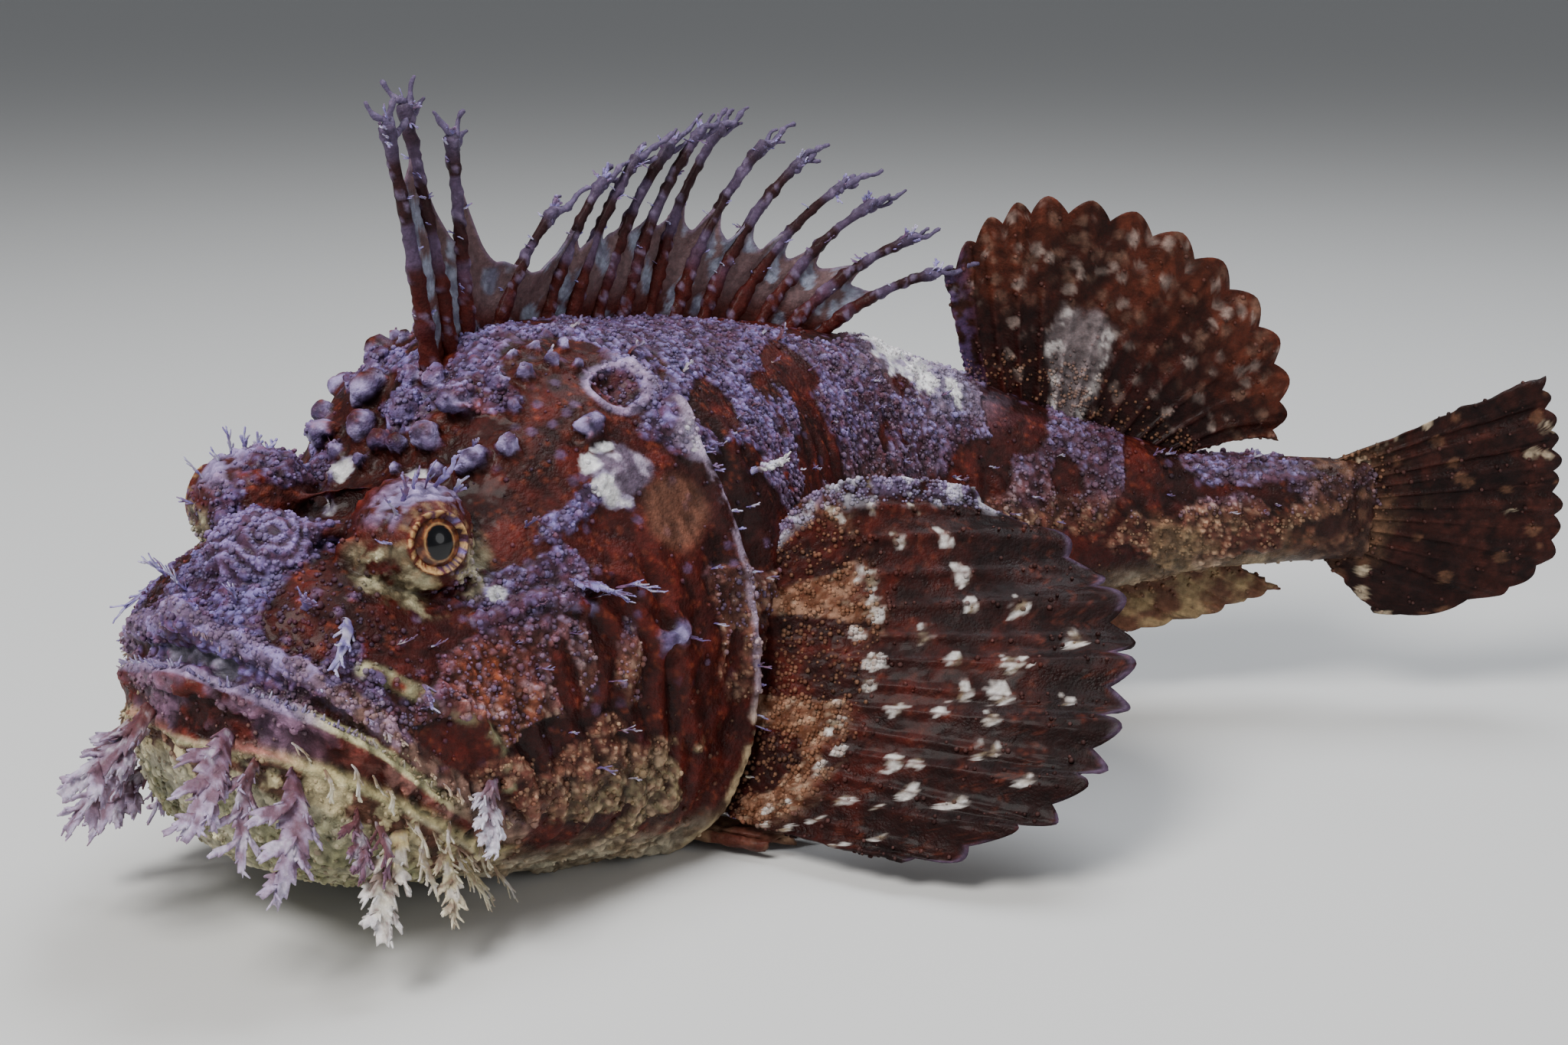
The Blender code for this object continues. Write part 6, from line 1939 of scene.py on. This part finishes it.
def build_web(rows, sways):
    """The thin blotched web between the spines."""
    levels = np.linspace(0, 1, 36)
    grid, shares = web_grid(rows, sways, levels)
    high = np.repeat(levels[:, None], len(shares), 1)
    middle_of_gap = np.sin(pi * shares)[None, :] * np.ones_like(high)
    half = 0.00022 + 0.00060 * (1 - middle_of_gap) ** 3 + 0.00016 * domes(grid, 0.0017, 95)[0]
    points = two_sided(grid, sheet_normals(grid), half)
    web = make_mesh("dorsal_web", place(points), plate_faces(*high.shape))
    medium, fine = noises(grid, (0.006, 441, 3), (0.0025, 442, 3))
    tone = mix(srgb(84, 36, 30), srgb(110, 86, 88), ramp(high, 0.22, 0.55))
    patch, named = domes(grid * [1, 1, 0.62], 0.0058, 444)
    patch = ramp(patch + 0.9 * (fine - 0.5), 0.22, 0.52) * (named > 0.34) * ramp(middle_of_gap, 0.2, 0.7)
    blotch = mix(srgb(112, 114, 136), srgb(150, 158, 178), ramp(fine, 0.4, 0.6))
    tone = mix(tone, blotch, 0.82 * patch * ramp(high, 0.08, 0.24))
    tone = mix(tone, MAROON, 0.7 * (1 - ramp(high, 0.04, 0.22)) * ramp(medium, 0.40, 0.56))
    tone = mix(tone, srgb(128, 108, 134), 0.6 * ramp(high, 0.93, 1.0)).reshape(-1, 3)
    paint(web, np.concatenate([tone, tone]))
    dress(web, fin_material, "fin", "first_dorsal_fin")


# Eyes


def build_eye(name, m, material):
    """The eyeball: black pupil, rusty iris with dark bars, and a clear dome over it."""
    way = np.array([1, m, 1])
    centre, axis = EYE * way, EYE_AXIS * way
    one = unit(np.cross(axis, [0, 0, 1.0]))
    two = np.cross(axis, one)
    rings, around = 90, 96
    off = pi * (np.arange(rings) + 1) / (rings + 1)
    turns = np.arange(around) * 2 * pi / around
    radius = EYE_RADIUS * (1 + 0.045 * np.exp(-((off / 0.45) ** 2)))
    circle = np.cos(turns)[:, None] * one + np.sin(turns)[:, None] * two
    outward = np.cos(off)[:, None, None] * axis + np.sin(off)[:, None, None] * circle[None]
    loops = centre + radius[:, None, None] * outward
    points = np.concatenate(
        [loops.reshape(-1, 3), [centre + axis * EYE_RADIUS * 1.045, centre - axis * EYE_RADIUS]]
    )
    eye = make_mesh(name, place(points), ring_faces(rings, around))
    angle = np.degrees(np.repeat(off, around))
    turn = np.tile(turns, rings)
    pupil_edge = 22.5 - 2.6 * np.cos(2 * turn)
    grain = fractal(np.stack([np.cos(turn) * 3, np.sin(turn) * 3, angle * 0.10], -1), 0.8, 501, 4)
    iris = mix(srgb(64, 28, 20), srgb(128, 76, 46), ramp(grain, 0.38, 0.66))
    bars = ramp(np.sin(turn * 9 + 2.2 * (grain - 0.5)), 0.25, 0.75) * ramp(angle, 24, 29)
    iris = mix(iris, srgb(40, 18, 14), 0.60 * bars)
    iris = mix(iris, srgb(196, 160, 106), 0.45 * np.exp(-(((angle - pupil_edge - 2.0) / 1.2) ** 2)))
    colour = mix(iris, srgb(6, 6, 9), 1 - ramp(angle, pupil_edge - 1.0, pupil_edge + 0.6))
    paint(eye, np.concatenate([colour, [srgb(6, 6, 9), srgb(30, 14, 12)]]))
    dress(eye, material, "eye", name.replace("live_", ""))


# Materials


def painted_material(name):
    """A material with its nodes, links and shader, and the painted tint to start from."""
    material = bpy.data.materials.new(name)
    material.use_nodes = True
    nodes, links = material.node_tree.nodes, material.node_tree.links
    tint = nodes.new("ShaderNodeAttribute")
    tint.attribute_name = "tint"
    return material, nodes, links, nodes["Principled BSDF"], tint.outputs["Color"]


def texture(nodes, links, kind, scale, detail=3.0):
    node = nodes.new(kind)
    node.inputs["Scale"].default_value = scale
    if "Detail" in node.inputs:
        node.inputs["Detail"].default_value = detail
    links.new(nodes.new("ShaderNodeTexCoord").outputs["Object"], node.inputs["Vector"])
    return node


def mapped(nodes, links, source, start, end):
    """The source spread from its range start to the range end."""
    node = nodes.new("ShaderNodeMapRange")
    node.inputs["From Min"].default_value, node.inputs["From Max"].default_value = start
    node.inputs["To Min"].default_value, node.inputs["To Max"].default_value = end
    links.new(source, node.inputs["Value"])
    return node.outputs["Result"]


def scaled(nodes, links, colour, factor):
    node = nodes.new("ShaderNodeVectorMath")
    node.operation = "SCALE"
    links.new(colour, node.inputs[0])
    links.new(factor, node.inputs["Scale"])
    return node.outputs["Vector"]


def set_shader(shader, **values):
    for name, value in values.items():
        shader.inputs[name.replace("_", " ")].default_value = value


def tissue(
    name, rough=(0.36, 0.66), grain=0.0011, bump=0.42, coat=0.05, fine_tint=0.20, glow=0.0, gloss=0.15
):
    """Wet skin: the painted markings, broken up by fine noise, with pores and grain in the bump."""
    material, nodes, links, shader, tint = painted_material(name)
    speck = texture(nodes, links, "ShaderNodeTexNoise", 0.55 / grain, 4.0)
    blotch = texture(nodes, links, "ShaderNodeTexNoise", 120.0)
    cells = texture(nodes, links, "ShaderNodeTexVoronoi", 1.0 / grain)
    spread = 1.5 * fine_tint
    light = mapped(nodes, links, speck.outputs["Fac"], (0.30, 0.70), (1.0 - spread, 1.0 + spread))
    pores = mapped(nodes, links, cells.outputs["Distance"], (0.25, 0.75), (1.10, 0.74))
    colour = scaled(nodes, links, scaled(nodes, links, tint, light), pores)
    links.new(colour, shader.inputs["Base Color"])
    links.new(mapped(nodes, links, blotch.outputs["Fac"], (0.35, 0.65), rough), shader.inputs["Roughness"])
    relief = nodes.new("ShaderNodeMath")
    relief.operation = "SUBTRACT"
    links.new(speck.outputs["Fac"], relief.inputs[0])
    links.new(cells.outputs["Distance"], relief.inputs[1])
    raised = nodes.new("ShaderNodeBump")
    raised.inputs["Strength"].default_value = bump
    raised.inputs["Distance"].default_value = grain * 0.6
    links.new(relief.outputs["Value"], raised.inputs["Height"])
    links.new(raised.outputs["Normal"], shader.inputs["Normal"])
    set_shader(shader, Specular_IOR_Level=gloss, Coat_Weight=coat, Coat_Roughness=0.16)
    set_shader(shader, Subsurface_Weight=glow, Subsurface_Radius=(1.0, 0.35, 0.25), Subsurface_Scale=0.0025)
    return material


def eye_material():
    material, nodes, links, shader, tint = painted_material("eye_glass")
    grain = texture(nodes, links, "ShaderNodeTexNoise", 1500.0, 2.0)
    light = mapped(nodes, links, grain.outputs["Fac"], (0.0, 1.0), (0.75, 1.25))
    links.new(scaled(nodes, links, tint, light), shader.inputs["Base Color"])
    set_shader(shader, Roughness=0.28, Specular_IOR_Level=0.15, Coat_Weight=0.45, Coat_Roughness=0.03)
    return material


# The studio


LOOK_AT = (0.124, 0.106, 0.07)
LOOK_FROM, LOOK_DOWN = 0.56, radians(15)


def area_light(name, at, towards, size, power, colour=(1, 1, 1)):
    light = bpy.data.lights.new(name, "AREA")
    light.shape = "DISK"
    light.size = size
    light.energy = power
    light.color = colour
    lamp = bpy.data.objects.new(name, light)
    lamp.location = at
    lamp.rotation_euler = (Vector(towards) - Vector(at)).to_track_quat("-Z", "Y").to_euler()
    bpy.context.scene.collection.objects.link(lamp)


def build_studio():
    work = bmesh.new()
    bmesh.ops.create_grid(work, x_segments=1, y_segments=1, size=30.0)
    mesh = bpy.data.meshes.new("floor")
    work.to_mesh(mesh)
    work.free()
    floor = bpy.data.objects.new("floor", mesh)
    bpy.context.scene.collection.objects.link(floor)
    material = bpy.data.materials.new("floor")
    material.use_nodes = True
    shader = material.node_tree.nodes["Principled BSDF"]
    shader.inputs["Base Color"].default_value = (0.62, 0.62, 0.61, 1)
    shader.inputs["Roughness"].default_value = 0.85
    mesh.materials.append(material)
    area_light("key", (-0.55, -0.75, 1.15), (-0.02, 0, 0.05), 0.6, 25.0, (1.0, 0.98, 0.95))
    area_light("top", (0.25, 0.35, 1.25), (0, 0, 0.05), 0.8, 13.0, (0.90, 0.94, 1.0))
    area_light("fill", (1.1, -0.8, 0.55), (0, 0, 0.07), 0.9, 4.5)
    world = bpy.data.worlds.new("studio")
    bpy.context.scene.world = world
    world.use_nodes = True
    background = world.node_tree.nodes["Background"]
    background.inputs["Color"].default_value = (0.80, 0.83, 0.88, 1)
    background.inputs["Strength"].default_value = 0.25


def build_camera():
    """The photograph's view: a 50 mm lens on a 36 mm frame, looking down a little at the fish's side."""
    look = np.array([0, cos(LOOK_DOWN), -sin(LOOK_DOWN)])
    target = np.array(LOOK_AT) + SHIFT
    lens = bpy.data.cameras.new("camera")
    lens.lens, lens.sensor_width = 50.0, 36.0
    lens.clip_start, lens.clip_end = 0.01, 50.0
    camera = bpy.data.objects.new("camera", lens)
    camera.location = target - look * LOOK_FROM
    camera.rotation_euler = Vector(look).to_track_quat("-Z", "Y").to_euler()
    bpy.context.scene.collection.objects.link(camera)
    bpy.context.scene.camera = camera


build_camera()
skin_material = tissue("skin", glow=0.06)
fin_material = tissue("fin", rough=(0.40, 0.68), grain=0.0009, bump=0.34, coat=0.03, glow=0.05, gloss=0.12)
tab_material = tissue(
    "tabs", rough=(0.40, 0.62), grain=0.0007, bump=0.24, coat=0.04, fine_tint=0.16, glow=0.10, gloss=0.20
)
glass = eye_material()

skin_object, p, normals, colours, pale = build_skin()
dress(skin_object, skin_material, "skin", "head", "lower_jaw", "torso", "tail_stem")
for name, number, size, seed in (
    ("prickles", 9000, 0.00060, SEED + 5), ("fine_prickles", 8800, 0.00042, SEED + 6)
):
    dress(build_prickles(name, number, size, seed, p, normals, colours, pale), skin_material, "skin")
build_eye("live_eye_left", 1, glass)
build_eye("live_eye_right", -1, glass)
chin_tabs, lip_tabs, skin_tabs = build_tabs()
coat_object("chin_tabs", *chin_tabs, "jaw_skin", tab_material)
coat_object("lip_tabs", *lip_tabs, "jaw_skin", tab_material)
coat_object("skin_tabs", *skin_tabs, "skin", tab_material)
build_first_dorsal()
build_fins()
build_studio()
